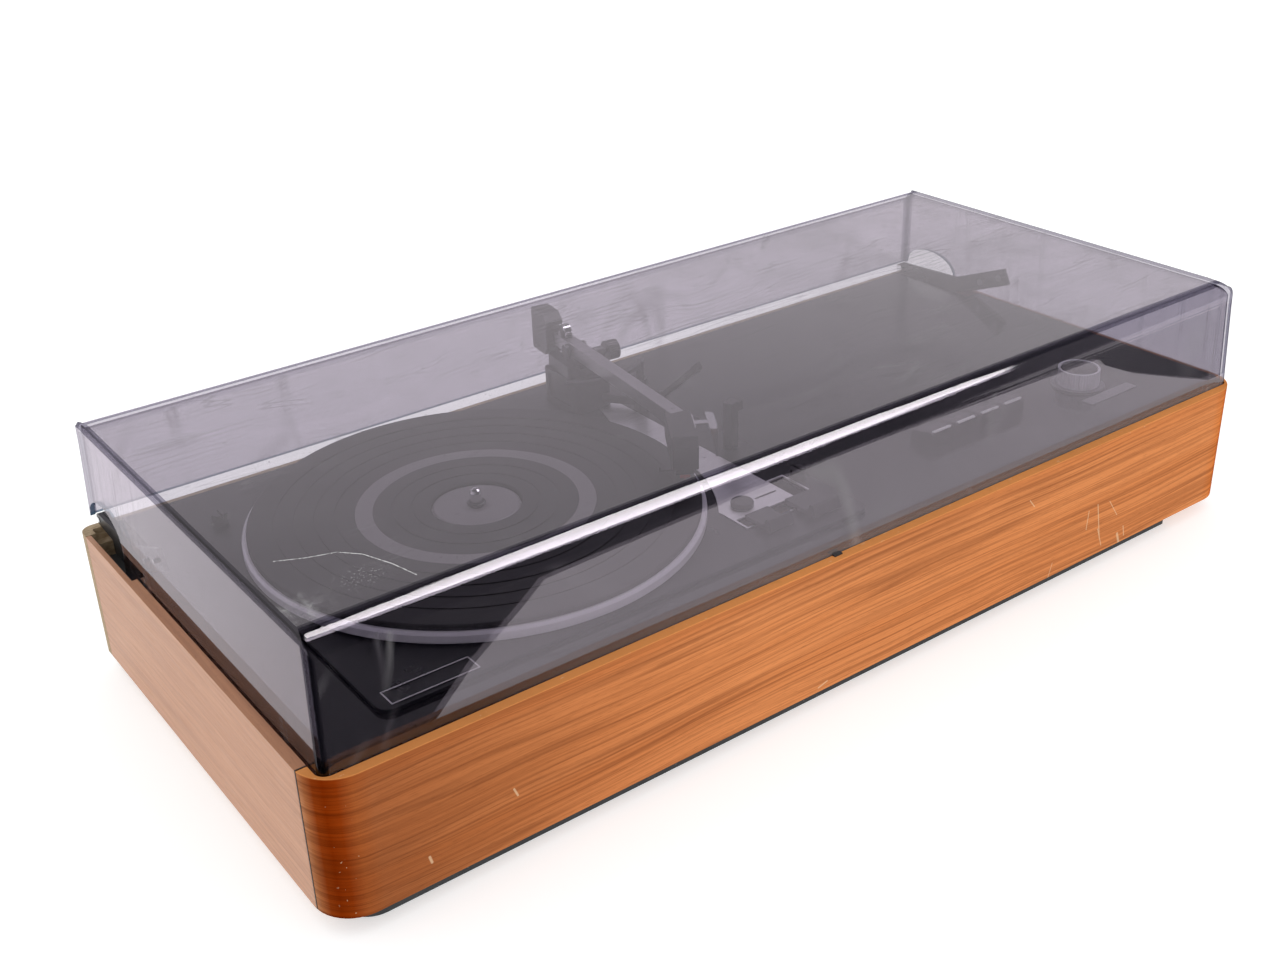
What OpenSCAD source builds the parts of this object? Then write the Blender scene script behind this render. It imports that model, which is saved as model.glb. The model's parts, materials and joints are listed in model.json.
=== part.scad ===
// Record player with a built-in amplifier, in a long wooden cabinet under a clear dust cover.
// The front faces -Y, the deck faces +Z and the platter is on the left.
// The origin is the middle of the base, on the surface that the player stands on.

/* [Cabinet] */
// Length of the cabinet from side to side
plinth_l = 730; // [720:1:790]
// Depth of the cabinet from front to back
plinth_d = 328; // [326:1:350]
// Height of the wooden cabinet above its base
plinth_h = 87; // [84:1:105]
// Thickness of the cabinet's boards
board_t = 16; // [14:0.5:18]
// Thickness of the thin rim outside the dust cover
rim_t = 6.4; // [5:0.1:8]
// Height of the rim above the ledge that the cover stands on
rim_h = 8; // [6:0.5:10]
// Radius of the two front corners
front_r = 24; // [18:1:30]
// Radius of the two rear corners
rear_r = 8; // [4:1:12]
// Distance from the front to the seam at the end of the front board
front_seam = 20; // [18:1:24]
// Thickness of the rear board
rear_t = 13; // [10:1:16]
// Width of the open seams between the boards
seam_gap = 0.6; // [0.3:0.1:1]
// Thickness of the bottom board
bottom_t = 8; // [5:0.5:10]
// Length and width of the corner blocks
corner_block = 26; // [18:1:32]

/* [Base] */
// Height of the black base strips with their pads
base_h = 12; // [9:0.5:18]
// Distance of the base strips from the front and the back
skid_inset = 8; // [5:1:20]
// Width of a base strip
skid_w = 34; // [24:1:50]
// Distance of the base strips from the left side
skid_left = 15; // [8:1:40]
// Distance of the base strips from the right side
skid_right = 60; // [20:1:90]
// How far a foot pad stands out of its strip
pad_out = 1; // [0.5:0.1:2]
// Radius of a foot pad
pad_r = 8; // [6:0.5:12]

/* [Dust cover] */
// Height of the cover's top above the cabinet's rim
cover_rise = 74; // [72:1:100]
// Wall of the cover
cover_t = 3; // [2.5:0.1:4]
// Gap between the cover and the rim
cover_gap = 0.6; // [0.5:0.1:1.2]
// How far each wall leans in from bottom to top
cover_draft = 2.6; // [1:0.1:4]
// Outer radius of the cover's edges
cover_r = 6; // [5:0.5:9]
// Distance of the cover's rear face from the back of the cabinet
cover_back = 0.4; // [0:0.1:1]
// Height of the rear wall's lower edge above the cabinet's rear rim
cover_lift = 9; // [9:0.5:12]
// Length of the half-moon notch in each side wall
notch_l = 56; // [48:1:62]
// Height of the half-moon notch above the rear wall's lower edge
notch_h = 16.6; // [12:0.2:22]

/* [Hinges] */
// Distance of the hinge pin from the back of the cabinet
pin_back = 6; // [5.6:0.1:6.4]
// Height of the hinge pin above the cabinet's rear rim
pin_up = 5; // [4.9:0.1:5.2]
// Radius of the hinge pin
pin_r = 1.75; // [1.5:0.05:2]
// Radius of the arm's eye round the pin
eye_r = 3.9; // [3.6:0.1:4]
// Thickness of a hinge arm
arm_t = 2.6; // [2:0.1:3]
// Width of a hinge arm
arm_w = 12; // [9:0.5:13]
// Thickness of a hinge bracket
bracket_t = 2.6; // [2:0.1:3]
// Length of the recess for the bracket in each side board
recess_l = 70; // [66:1:80]
// Depth of that recess below the rim
recess_h = 19; // [16:1:22]
// Wood left outside the recess
recess_skin = 3.2; // [2.5:0.1:4.5]
// Radius of a cover screw
cover_screw_r = 1.5; // [1.2:0.1:1.8]

/* [Deck] */
// Thickness of the deck board
deck_t = 12; // [10:0.5:14]
// Gap between the deck board and the cover's walls
deck_gap = 1.4; // [1:0.1:2]
// Width of the deck's notch for each hinge
deck_notch = 13; // [11:0.5:18]
// How far the deck's round opening lies inside the platter's edge
deck_hole_in = 3; // [2:0.5:6]

/* [Unit plate] */
// Width of the unit plate's part to the right of the platter's square
strip_w = 51; // [49:1:56]
// Distance of the unit plate from the back of the cabinet
unit_back = 18; // [16:1:20]
// Distance of the unit plate from the left side of the cabinet
unit_x = 51; // [46:1:54]
// Distance of the unit plate from the front of the cabinet
unit_y = 26; // [24:1:28]
// Sheet thickness of the unit plate
sheet_t = 1.4; // [1:0.1:1.6]
// Depth of the unit plate's turned-down edge
lip_h = 2.2; // [1.8:0.1:2.4]
// Height of the unit plate's lip above the deck on its springs
float_gap = 0.8; // [0.6:0.1:1.5]
// Radius of the unit plate's corners
unit_r = 8; // [5:0.5:12]
// How far the pan's edge lies inside the platter's edge
pan_in = 9; // [8:0.5:12]
// Depth of the pan under the platter
pan_h = 8; // [7.6:0.1:10]

/* [Platter] */
// How far the platter's edge lies inside the unit plate's front, rear and left edges
platter_in = 2; // [1:0.5:4]
// Thickness of the platter's rim
platter_rim = 6; // [4:0.5:7]
// Height of the platter from the rim's lower edge to its top face
platter_h = 6.8; // [6.6:0.1:8]
// Thickness of the platter's web
web_t = 2.6; // [2:0.1:2.8]
// Gap between the platter's rim and the unit plate
platter_gap = 0.8; // [0.5:0.1:1.2]
// Width of the bright bevel round the platter's top edge
platter_bevel = 1.6; // [0.8:0.1:2]
// Radius of the platter's hub
hub_r = 16; // [12:0.5:20]
// How far the rubber mat's edge lies inside the platter's edge
mat_in = 3; // [2.5:0.5:10]
// Thickness of the rubber mat
mat_t = 3.4; // [2.4:0.1:4]
// Inner radius of the pale ring in the mat
ring_in = 62.5; // [55:0.5:65]
// Outer radius of the pale ring in the mat
ring_out = 73; // [68:0.5:80]
// Radius of the disc round the spindle
disc_r = 27; // [20:0.5:35]
// Radius of the spindle's tip, which fits a record's hole
tip_r = 3.6; // [3.4:0.05:3.6]
// Height of the spindle's tip above the platter's top face
tip_h = 13.4; // [10:0.2:16]
// Radius of the spindle's shaft in its bearing
shaft_r = 5; // [4:0.1:6]
// Length of the bearing housing
bearing_l = 30; // [22:1:36]

/* [Drive] */
// Radius of the idler wheel
idler_r = 22; // [18:0.5:24]
// Thickness of the idler wheel's tyre
idler_t = 3; // [2:0.1:3.2]
// Angle of the idler wheel round the platter, from the right side
idler_angle = 215; // [205:1:225]
// Angle between the idler's contacts with the rim and with the pulley
wedge_angle = 110; // [100:1:120]
// Radius of the motor pulley's upper step
pulley_r = 3.2; // [2.8:0.1:4]
// Radius of the motor pulley's lower step
step_r = 4.3; // [4:0.1:5]
// Radius of the motor's shaft
motor_shaft_r = 1.5; // [1.2:0.05:1.6]
// Length of the idler arm between its pivot and the wheel
idler_arm_l = 38; // [32:1:44]
// Size of the motor's iron stack
motor_w = 52; // [44:1:58]
// Height of the motor's iron stack
motor_h = 16; // [10:1:20]
// Rolling gap between the wheels in the solids
mesh_gap = 0.3; // [0.2:0.05:0.5]

/* [Tonearm] */
// Distance of the arm's pivot from the unit plate's right edge
pivot_right = 49.5; // [47:0.5:50]
// Distance of the arm's pivot from the unit plate's rear edge
pivot_back = 42; // [38:0.5:46]
// Height of the arm's axis above the unit plate
tube_up = 42.5; // [42:0.1:44]
// Angle that the arm has swung in from straight forward
arm_angle = 7.25; // [6:0.25:12]
// Width of the arm's channel
tube_w = 9; // [7:0.2:10]
// Height of the arm's channel
tube_h = 9; // [7:0.2:10]
// Length of the channel in front of the pivot
tube_front = 139; // [135:1:142]
// Length of the channel behind the pivot
tube_back = 22; // [20:0.5:24]
// Offset angle of the head
head_angle = 24; // [20:0.5:25]
// Width of the head
head_w = 16; // [14:0.5:18]
// Length of the head
head_l = 42; // [38:0.5:46]
// Height of the head
head_h = 20; // [17:0.5:21]
// Width of the counterweight
weight_w = 13; // [12:0.5:18]
// Length of the counterweight
weight_l = 23; // [18:0.5:24]
// Height of the counterweight
weight_h = 30; // [24:0.5:31]
// How far the counterweight sits to the left of the arm's axis
weight_shift = 2.5; // [0:0.5:4]
// Width of the pedestal
pedestal_w = 31; // [28:1:32]
// Depth of the pedestal
pedestal_d = 38; // [34:1:40]
// Height of the pedestal
pedestal_h = 26.5; // [22:0.5:27]
// Radius of the swivel's journal in the pedestal
journal_r = 4; // [3:0.1:5]
// Radius of the pin that the arm tips on
tip_pin_r = 1.5; // [1.2:0.05:1.8]
// Radius of the side force knob
bias_r = 7; // [5:0.5:7]
// Width of the side force knob
bias_w = 8.5; // [6:0.5:9]

/* [Arm rest and cueing] */
// Distance of the arm rest from the arm's pivot
rest_reach = 129.5; // [126:0.5:130]
// Angle of the arm rest, out from straight forward
rest_angle = 16.6; // [15.5:0.1:17.5]
// Distance of the cueing rail from the arm's pivot
rail_reach = 47; // [42:0.5:52]
// Width of the cueing rail
rail_w = 4; // [3:0.1:5]
// Angle of the cueing post, out from straight forward
post_angle = 36; // [35:1:38]
// Radius of the cueing post
post_r = 3; // [2.5:0.1:3.5]
// Length of the cueing lever
cue_l = 57; // [45:1:62]
// Angle of the cueing lever above the deck
cue_angle = 41; // [35:1:50]

/* [Turntable controls] */
// Distance of the control plate's front edge from the unit plate's front edge
control_front = 26; // [22:0.5:28]
// Distance of the control plate's right edge from the unit plate's right edge
control_right = 13.5; // [11:0.5:15]
// Distance of the control plate's hollow edge from the platter
control_gap = 7; // [4:0.5:10]
// Thickness of the control plate
control_t = 0.8; // [0.5:0.1:1]
// Width of the control plate's thin borders
border_w = 1.5; // [1:0.1:2]
// Radius of the selector knob
selector_r = 7.2; // [5:0.1:8]
// Height of the selector knob
selector_h = 3.4; // [2.5:0.1:5]
// Height of the lever paddles
paddle_h = 8; // [5:0.5:9]

/* [Keys and volume] */
// Distance of the first key's middle from the right side of the cabinet
key_right = 242; // [235:1:250]
// Distance between the middles of two keys
key_pitch = 23.2; // [22.5:0.1:25]
// Width of a key
key_w = 21; // [16:0.5:21.5]
// Depth of a key from front to back
key_d = 18.5; // [14:0.5:22]
// Distance of the keys' front faces from the front of the cabinet
key_y = 62.5; // [50:0.5:80]
// Height of a key above the deck
key_h = 10.5; // [8:0.5:12]
// Gap between a key and its opening
key_gap = 0.5; // [0.3:0.1:0.6]
// Distance of the volume knob from the right side of the cabinet
volume_right = 98.5; // [80:0.5:110]
// Distance of the volume knob from the front of the cabinet
volume_y = 67; // [55:1:90]
// Radius of the volume knob
volume_r = 14.75; // [12:0.25:18]
// Height of the volume knob
volume_h = 13; // [10:0.5:16]
// Radius of the skirt under the volume knob
skirt_r = 19; // [17:0.5:22]
// Radius of the volume control's shaft
volume_shaft_r = 3; // [2.5:0.1:3.5]
// Length of the bare label plate
label_l = 49; // [30:1:60]
// Width of the bare label plate
label_w = 9; // [6:0.5:12]

/* [Inside] */
// Length of the amplifier's circuit board
board_l = 210; // [160:5:240]
// Width of the amplifier's circuit board
board_w = 130; // [100:5:150]
// Length of the transformer's iron core
core_l = 66; // [55:1:80]
// Number of sockets at the back
socket_count = 5; // [3:1:6]
// Radius of a socket's opening
socket_r = 7.5; // [6:0.1:8]

/* [Fits] */
// Radial clearance of a turning or sliding fit
run_fit = 0.05; // [0.03:0.01:0.08]
// Clearance between parts that only pass each other
pass_gap = 0.4; // [0.3:0.05:0.6]

/* [Hidden] */
$fn = 96;
eps = 0.01;
hull_fn = 32;
key_count = 4;

// Unit plate and platter
unit_d = plinth_d - unit_y - unit_back;
unit_l = unit_d + strip_w;
platter_x = unit_x + unit_d / 2;
platter_y = unit_y + unit_d / 2;
platter_r = unit_d / 2 - platter_in;
pan_r = platter_r - pan_in;
deck_hole_r = platter_r - deck_hole_in;
mat_r = platter_r - mat_in;
control_arc = platter_r + control_gap;

// Heights in the cabinet, above its lower edge
ledge_z = plinth_h - rim_h;
deck_z = ledge_z + deck_t;
unit_z = deck_z + float_gap + lip_h;
pan_z = unit_z - pan_h;
platter_z = unit_z + platter_gap;
platter_top = platter_z + platter_h;
web_z = platter_top - web_t;
mat_top = platter_top + mat_t;
tube_z = unit_z + tube_up;
cover_inset = rim_t + cover_gap;
cover_foot = ledge_z + cover_gap;
cover_top = plinth_h + cover_rise;
cover_sill = plinth_h + cover_lift;
deck_inset = cover_inset + cover_t + deck_gap;

// Hinge places
pin_y = plinth_d - pin_back;
pin_z = plinth_h + pin_up;
arm_x = cover_inset + cover_t + 1.8;
bracket_x = arm_x + arm_t + 0.6;
recess_z = plinth_h - recess_h;
side_end = plinth_d - rear_t - seam_gap;

// Drive places, from the platter's centre
rim_inner = platter_r - platter_rim;
idler_reach = rim_inner - idler_r - mesh_gap;
idler_at = [idler_reach * cos(idler_angle), idler_reach * sin(idler_angle)];
pulley_dir = idler_angle + wedge_angle;
pulley_at = idler_at + (idler_r + pulley_r + mesh_gap) * [cos(pulley_dir), sin(pulley_dir)];
idler_pivot = idler_at + [idler_arm_l, 0];
idler_z = platter_z + 0.4;

// Arm places
pivot_at = [unit_x + unit_l - pivot_right, unit_y + unit_d - pivot_back];
yoke_z = unit_z + pedestal_h + 0.5;
yoke_disc = 3.5;
tip_z = mat_top + 7.2;
head_top = tube_z + tube_h / 2;
head_z = head_top - head_h;
rail_top = tube_z - tube_h / 2 - 1;
cue_pivot_x = unit_x + unit_l - 5;

// Control places
control_y = unit_y + control_front;
control_x = unit_x + unit_l - control_right;
window_r_w = 12;
window_f_d = 11;
plate_edge = control_x - border_w * 2 - window_r_w;
selector_at = [plate_edge - 31.5, control_y + 24];

function from_right(d) = plinth_l - d;
function key_x(i) = from_right(key_right) + i * key_pitch;

// Everything is drawn from the cabinet's front left lower corner and then moved to the origin
module seat() {
    translate([-plinth_l / 2, -plinth_d / 2, base_h]) children();
}

// The same thing on the left and on the right
module both_sides() {
    children();
    translate([plinth_l, 0, 0]) mirror([1, 0, 0]) children();
}

// A profile drawn as depth and height, made solid from one x to another
module along_x(x0, x1) {
    translate([x0, 0, 0]) rotate([90, 0, 90]) linear_extrude(x1 - x0) children();
}

// Rectangle with its own radius for the front and for the rear corners
module rounded(x0, y0, x1, y1, rf, rr) {
    translate([x0 + rf, y0]) square([x1 - x0 - 2 * rf, rf]);
    translate([x0, y0 + rf]) square([x1 - x0, y1 - y0 - rf - rr]);
    translate([x0 + rr, y1 - rr]) square([x1 - x0 - 2 * rr, rr]);
    for (x = [x0 + rf, x1 - rf]) translate([x, y0 + rf]) circle(rf);
    for (x = [x0 + rr, x1 - rr]) translate([x, y1 - rr]) circle(rr);
}

// The cabinet's outline, moved in on all sides
module outline(inset, rf, rr) {
    rounded(inset, inset, plinth_l - inset, plinth_d - inset, rf, rr);
}

// The four boards as one ring, with the ledge for the cover cut in
module wall_ring() {
    difference() {
        linear_extrude(plinth_h) outline(0, front_r, rear_r);
        translate([0, 0, -1]) linear_extrude(plinth_h + 2)
            rounded(board_t, board_t, plinth_l - board_t, plinth_d - rear_t,
                front_r - board_t + 2, 1);
        translate([0, 0, ledge_z]) linear_extrude(rim_h + 1)
            outline(rim_t, cover_r + cover_gap, 1);
    }
}

module front_panel() {
    color("#b5672f") seat() intersection() {
        wall_ring();
        translate([-1, -1, -1]) cube([plinth_l + 2, front_seam + 1, plinth_h + 2]);
    }
}

module side_panel() {
    difference() {
        intersection() {
            wall_ring();
            translate([-1, front_seam + seam_gap, -1])
                cube([board_t + 1, side_end - front_seam - seam_gap, plinth_h + 2]);
        }
        translate([recess_skin, side_end - recess_l, recess_z])
            cube([board_t, recess_l + 1, recess_h + 1]);
    }
}

module left_side_panel() {
    color("#a9683c") seat() side_panel();
}

module right_side_panel() {
    color("#a9683c") seat() translate([plinth_l, 0, 0]) mirror([1, 0, 0]) side_panel();
}

vent_count = 12;
vent_pitch = 14;
vent_w = 5;
vent_h = 30;
socket_pitch = 24;
socket_right = 190;
socket_x = from_right(socket_right);
socket_z = plinth_h * 0.46;
socket_row = socket_count * socket_pitch;
inlet_r = 5;

module rear_panel() {
    color("#8d5a34") seat() difference() {
        intersection() {
            wall_ring();
            translate([-1, plinth_d - rear_t, -1]) cube([plinth_l + 2, rear_t + 1, plinth_h + 2]);
        }
        translate([socket_x - socket_row, plinth_d - rear_t - 1, socket_z - socket_pitch / 2])
            cube([socket_row + socket_pitch, rear_t + 2, socket_pitch]);
        for (i = [0 : vent_count - 1])
            translate([plinth_l / 8 + i * vent_pitch, plinth_d - rear_t - 1, socket_z - vent_h / 3])
                cube([vent_w, rear_t + 2, vent_h]);
    }
}

module bottom_board() {
    color("#6b5842") seat() difference() {
        linear_extrude(bottom_t)
            rounded(board_t + pass_gap, board_t + pass_gap, plinth_l - board_t - pass_gap,
                plinth_d - rear_t - pass_gap, front_r - board_t + 2, 1);
        for (x = [plinth_l / 4, plinth_l * 3 / 4], i = [0 : vent_count - 1])
            translate([x + (i - vent_count / 2) * vent_pitch, (plinth_d - 3 * vent_h) / 2, -1])
                cube([vent_w, 3 * vent_h, bottom_t + 2]);
    }
}

// One base strip with a round left end and a slanted right end
module skid_outline() {
    end_slant = 6;
    translate([skid_left + skid_w / 2, skid_inset + skid_w / 2]) circle(skid_w / 2);
    polygon([[skid_left + skid_w / 2, skid_inset],
        [from_right(skid_right), skid_inset],
        [from_right(skid_right) - end_slant, skid_inset + skid_w],
        [skid_left + skid_w / 2, skid_inset + skid_w]]);
}

module both_skids() {
    children();
    translate([0, plinth_d, 0]) mirror([0, 1, 0]) children();
}

pad_x = [skid_left + skid_w / 2, from_right(skid_right) - skid_w / 2];
pad_y = [skid_inset + skid_w / 2, plinth_d - skid_inset - skid_w / 2];
pad_deep = 2;

module base_skids() {
    color("#17171a") seat() difference() {
        both_skids() translate([0, 0, pad_out - base_h]) linear_extrude(base_h - pad_out)
            skid_outline();
        for (x = pad_x, y = pad_y) translate([x, y, -base_h])
            cylinder(h = pad_out + pad_deep, r = pad_r + pass_gap);
    }
}

module foot_pads() {
    color("#26262a") seat() for (x = pad_x, y = pad_y) translate([x, y, -base_h])
        cylinder(h = pad_out + pad_deep, r = pad_r);
}

module corner_blocks() {
    block_top = recess_z - 4;
    x_near = board_t + pass_gap;
    color("#a08560") seat() both_sides() difference() {
        for (y = [board_t + pass_gap, plinth_d - rear_t - pass_gap - corner_block])
            translate([x_near, y, bottom_t]) linear_extrude(block_top - bottom_t)
                rounded(0, 0, corner_block, corner_block, front_r - board_t + 2, 1);
        for (y = [board_t + corner_block / 2, plinth_d - rear_t - corner_block / 2])
            translate([x_near + corner_block / 2, y, block_top - 20]) cylinder(h = 21, r = 2);
    }
}

key_clear = key_w + 2 * key_gap;
bush_r = 5;

module deck_panel() {
    edge_r = cover_r - cover_t + 1;
    notch_y = side_end - recess_l - 6;
    color("#141417") seat() difference() {
        translate([0, 0, ledge_z]) linear_extrude(deck_t) difference() {
            outline(deck_inset, edge_r, 2);
            translate([platter_x, platter_y]) circle(deck_hole_r);
            rounded(platter_x, unit_y + 24, unit_x + unit_l - 14, unit_y + unit_d - 24, 12, 12);
            for (i = [0 : key_count - 1]) translate([key_x(i) - key_clear / 2, key_y - key_gap])
                square([key_clear, key_d + 2 * key_gap]);
            translate([from_right(volume_right), volume_y]) circle(bush_r + pass_gap);
        }
        both_sides() translate([0, notch_y, ledge_z - 1])
            cube([deck_inset + deck_notch, plinth_d, deck_t + 2]);
        for (p = spring_at) translate([p[0], p[1], deck_z - spring_deep])
            cylinder(h = spring_deep + 1, r = spring_r + 3);
        for (p = transit_at) translate([p[0], p[1], ledge_z - 1])
            cylinder(h = deck_t + 2, r = transit_r - 2 + run_fit);
    }
}

// Soft strip between the rim and the front of the cover
buffer_x = 339;
module front_buffer() {
    lip = 2.4;
    color("#0d0d0f") seat() along_x(buffer_x - 3, buffer_x + 3)
        polygon([[rim_t, ledge_z], [rim_t + 0.4, ledge_z], [rim_t + 0.4, plinth_h + 0.9],
            [rim_t - lip, plinth_h + 0.9], [rim_t - lip, plinth_h], [rim_t, plinth_h]]);
}

arm_side = [[pin_y, pin_z + eye_r], [pin_y, pin_z - eye_r], [pin_y - 54, plinth_h - 2.5],
    [pin_y - 78, deck_z + 1], [pin_y - 116, deck_z + 16.5], [pin_y - 110, deck_z + 16.5 + arm_w],
    [pin_y - 60, deck_z + 8]];
screw_side = [[pin_y - 107, deck_z + 20.2], [pin_y - 88, deck_z + 11.8]];
pad_thick = 0.5;

// One hinge arm: the eye behind, the cranked bar and the two pads against the cover
module hinge_arm() {
    difference() {
        union() {
            along_x(arm_x, arm_x + arm_t) {
                polygon(arm_side);
                translate([pin_y, pin_z]) circle(eye_r);
            }
            for (p = screw_side) along_x(arm_x - pad_thick, arm_x) translate(p) circle(4);
        }
        along_x(arm_x - 1, arm_x + arm_t + 1) translate([pin_y, pin_z]) circle(pin_r + run_fit);
        for (p = screw_side) along_x(arm_x - 1, arm_x + arm_t + 1) translate(p)
            circle(cover_screw_r + run_fit);
    }
}

module hinge_arms() {
    color("#2b2b2e") seat() both_sides() hinge_arm();
}

// The fixed half of a hinge: a foot in the recess and an ear that holds the pin
module hinge_bracket() {
    y0 = side_end - recess_l + 2;
    y1 = side_end - 2;
    difference() {
        union() {
            along_x(bracket_x, bracket_x + bracket_t) {
                polygon([[y0, recess_z], [y0, plinth_h - 8], [y0 + 10, plinth_h - 3],
                    [y1 - 22, plinth_h - 1], [y1 - 12, pin_z + eye_r], [pin_y, pin_z + eye_r],
                    [pin_y, pin_z - eye_r], [y1, pin_z - eye_r], [y1, recess_z]]);
                translate([pin_y, pin_z]) circle(eye_r);
            }
            translate([recess_skin + pass_gap, y0, recess_z])
                cube([bracket_x - recess_skin - pass_gap, y1 - y0, bracket_t]);
        }
        along_x(bracket_x - 1, bracket_x + bracket_t + 1) translate([pin_y, pin_z]) circle(pin_r);
        for (y = [y0 + 14, y1 - 14]) translate([board_t / 2, y, recess_z - 1])
            cylinder(h = bracket_t + 2, r = 2);
        along_x(bracket_x - 1, bracket_x + bracket_t + 1) translate([y0 + 14, plinth_h - 9])
            circle(3);
    }
}

module hinge_brackets() {
    color("#5b625c") seat() both_sides() hinge_bracket();
}

module hinge_pins() {
    head_r = 3;
    color("silver") seat() both_sides() {
        along_x(arm_x - 0.4, bracket_x + bracket_t) translate([pin_y, pin_z]) circle(pin_r);
        along_x(bracket_x + bracket_t, bracket_x + bracket_t + 1.2) translate([pin_y, pin_z])
            circle(head_r);
    }
}

module cover_screws() {
    color("silver") seat() both_sides() for (p = screw_side) {
        along_x(arm_x - 2.6, arm_x + arm_t) translate(p) circle(cover_screw_r);
        along_x(arm_x + arm_t, arm_x + arm_t + 1.8) translate(p) circle(cover_screw_r * 1.9);
    }
}

// Leaning box with rounded edges: inset says how far it lies inside the cover's outer faces
module cover_block(inset, foot, r) {
    near = cover_inset + inset;
    back = plinth_d - cover_back - inset;
    top = cover_top - inset;
    lean = cover_draft;
    hull() {
        for (x = [near + r, plinth_l - near - r], y = [near + r, back - r])
            translate([x, y, foot]) cylinder(h = eps, r = r, $fn = hull_fn);
        for (x = [near + lean + r, plinth_l - near - lean - r], y = [near + lean + r, back - lean - r])
            translate([x, y, top - r]) sphere(r, $fn = hull_fn);
    }
}

// Side view of what is cut away at the back: the rear opening and the half-moon notch
module rear_opening() {
    notch_end = plinth_d - 4;
    translate([notch_end - notch_l, cover_foot - 5]) square([notch_l + 10, cover_sill - cover_foot + 5]);
    translate([notch_end - notch_l / 2, cover_sill]) intersection() {
        scale([1, 2 * notch_h / notch_l]) circle(notch_l / 2);
        translate([-notch_l, -1]) square([2 * notch_l, notch_h + 2]);
    }
}

module dust_cover() {
    side_reach = cover_inset + cover_t + cover_draft + 1;
    color("#5a5662", 0.45) seat() difference() {
        cover_block(0, cover_foot, cover_r);
        cover_block(cover_t, cover_foot - 1, cover_r - cover_t);
        both_sides() along_x(cover_inset - 1, side_reach) rear_opening();
        translate([-1, plinth_d - rear_t - 4, cover_foot - 5])
            cube([plinth_l + 2, rear_t + 5, cover_sill - cover_foot + 5]);
        both_sides() for (p = screw_side) along_x(arm_x - 3, arm_x + 1) translate(p)
            circle(cover_screw_r + run_fit);
    }
}

spring_r = 7.5;
spring_wire = 1.4;
spring_deep = 8;
spring_turns = 3;
spring_steps = 8;
spring_at = [for (x = [unit_x + 17, unit_x + unit_l - 13], y = [unit_y + 14, unit_y + unit_d - 14])
    [x, y]];
transit_r = 5;
transit_at = [[unit_x + 17, unit_y + unit_d - 45], [unit_x + unit_l - 8, unit_y + 57]];
window_front = [[plate_edge - 46, control_y + border_w],
    [plate_edge - border_w, control_y + border_w + window_f_d]];
window_right = [[plate_edge + border_w, control_y + border_w],
    [control_x - border_w, control_y + 38]];

module box2d(corners) {
    translate(corners[0]) square(corners[1] - corners[0]);
}

module unit_plate() {
    x1 = unit_x + unit_l;
    y1 = unit_y + unit_d;
    pan_reach = pan_r + sheet_t;
    color("#1a1a1d") seat() difference() {
        union() {
            translate([0, 0, unit_z - lip_h]) linear_extrude(lip_h)
                rounded(unit_x, unit_y, x1, y1, unit_r, unit_r);
            translate([platter_x, platter_y, pan_z - sheet_t])
                cylinder(h = pan_h + sheet_t - lip_h + eps, r = pan_reach);
        }
        translate([0, 0, unit_z - lip_h - 1]) linear_extrude(lip_h + 1 - sheet_t) difference() {
            rounded(unit_x + sheet_t, unit_y + sheet_t, x1 - sheet_t, y1 - sheet_t,
                unit_r - sheet_t, unit_r - sheet_t);
            translate([platter_x, platter_y]) circle(pan_reach);
        }
        translate([platter_x, platter_y, pan_z]) cylinder(h = pan_h + 1, r = pan_r);
        translate([platter_x, platter_y, pan_z - sheet_t - 1])
            cylinder(h = sheet_t + 2, r = bearing_r);
        translate([platter_x + pulley_at[0], platter_y + pulley_at[1], pan_z - sheet_t - 1])
            cylinder(h = sheet_t + 2, r = step_r + 4);
        translate([0, 0, unit_z - lip_h - 1]) linear_extrude(lip_h + 2) {
            box2d(window_front);
            box2d(window_right);
            translate(selector_at) circle(stem_r + run_fit);
            translate(pivot_at) circle(journal_r + 3);
            for (p = transit_at) translate(p) circle(transit_r);
        }
    }
    color("#1a1a1d") seat() translate([platter_x + idler_pivot[0], platter_y + idler_pivot[1], pan_z])
        cylinder(h = idler_post, r = idler_hole);
}

// A coil of round wire, standing on z = 0
module coil(r, wire, turns, height) {
    steps = spring_steps * turns;
    sides = 6;
    path = [for (i = [0 : steps]) [r * cos(360 * i / spring_steps), r * sin(360 * i / spring_steps),
        wire / 2 + (height - wire) * i / steps]];
    points = [for (i = [0 : steps], s = [0 : sides - 1]) path[i] + wire / 2 *
        [cos(360 * i / spring_steps) * cos(360 * s / sides),
            sin(360 * i / spring_steps) * cos(360 * s / sides), sin(360 * s / sides)]];
    walls = [for (i = [0 : steps - 1], s = [0 : sides - 1], half = [0, 1])
        let (a = i * sides + s, b = i * sides + (s + 1) % sides)
            half == 0 ? [a, b, b + sides] : [a, b + sides, a + sides]];
    ends = [for (s = [1 : sides - 2], half = [0, 1])
        half == 0 ? [0, s + 1, s] : steps * sides * [1, 1, 1] + [0, s, s + 1]];
    echo(least_gap = norm(path[spring_steps] - path[0]) - wire);
    polyhedron(points, concat(walls, ends));
}

module suspension_springs() {
    color("#9a9a9a") seat() for (p = spring_at) translate([p[0], p[1], deck_z - spring_deep])
        coil(spring_r, spring_wire, spring_turns, unit_z - sheet_t - deck_z + spring_deep);
}

// Screws that lock the floating unit plate for a move
module transit_screws() {
    washer_r = 5.4;
    color("#202024") seat() for (p = transit_at) translate([p[0], p[1], 0]) {
        translate([0, 0, ledge_z - 8]) cylinder(h = unit_z - ledge_z + 8, r = transit_r - 2);
        translate([0, 0, unit_z]) cylinder(h = 2, r = washer_r);
        translate([0, 0, unit_z + 2]) difference() {
            cylinder(h = 5, r = transit_r);
            translate([-0.8, -transit_r, 3.5]) cube([1.6, 2 * transit_r, 2]);
        }
    }
}

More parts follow.
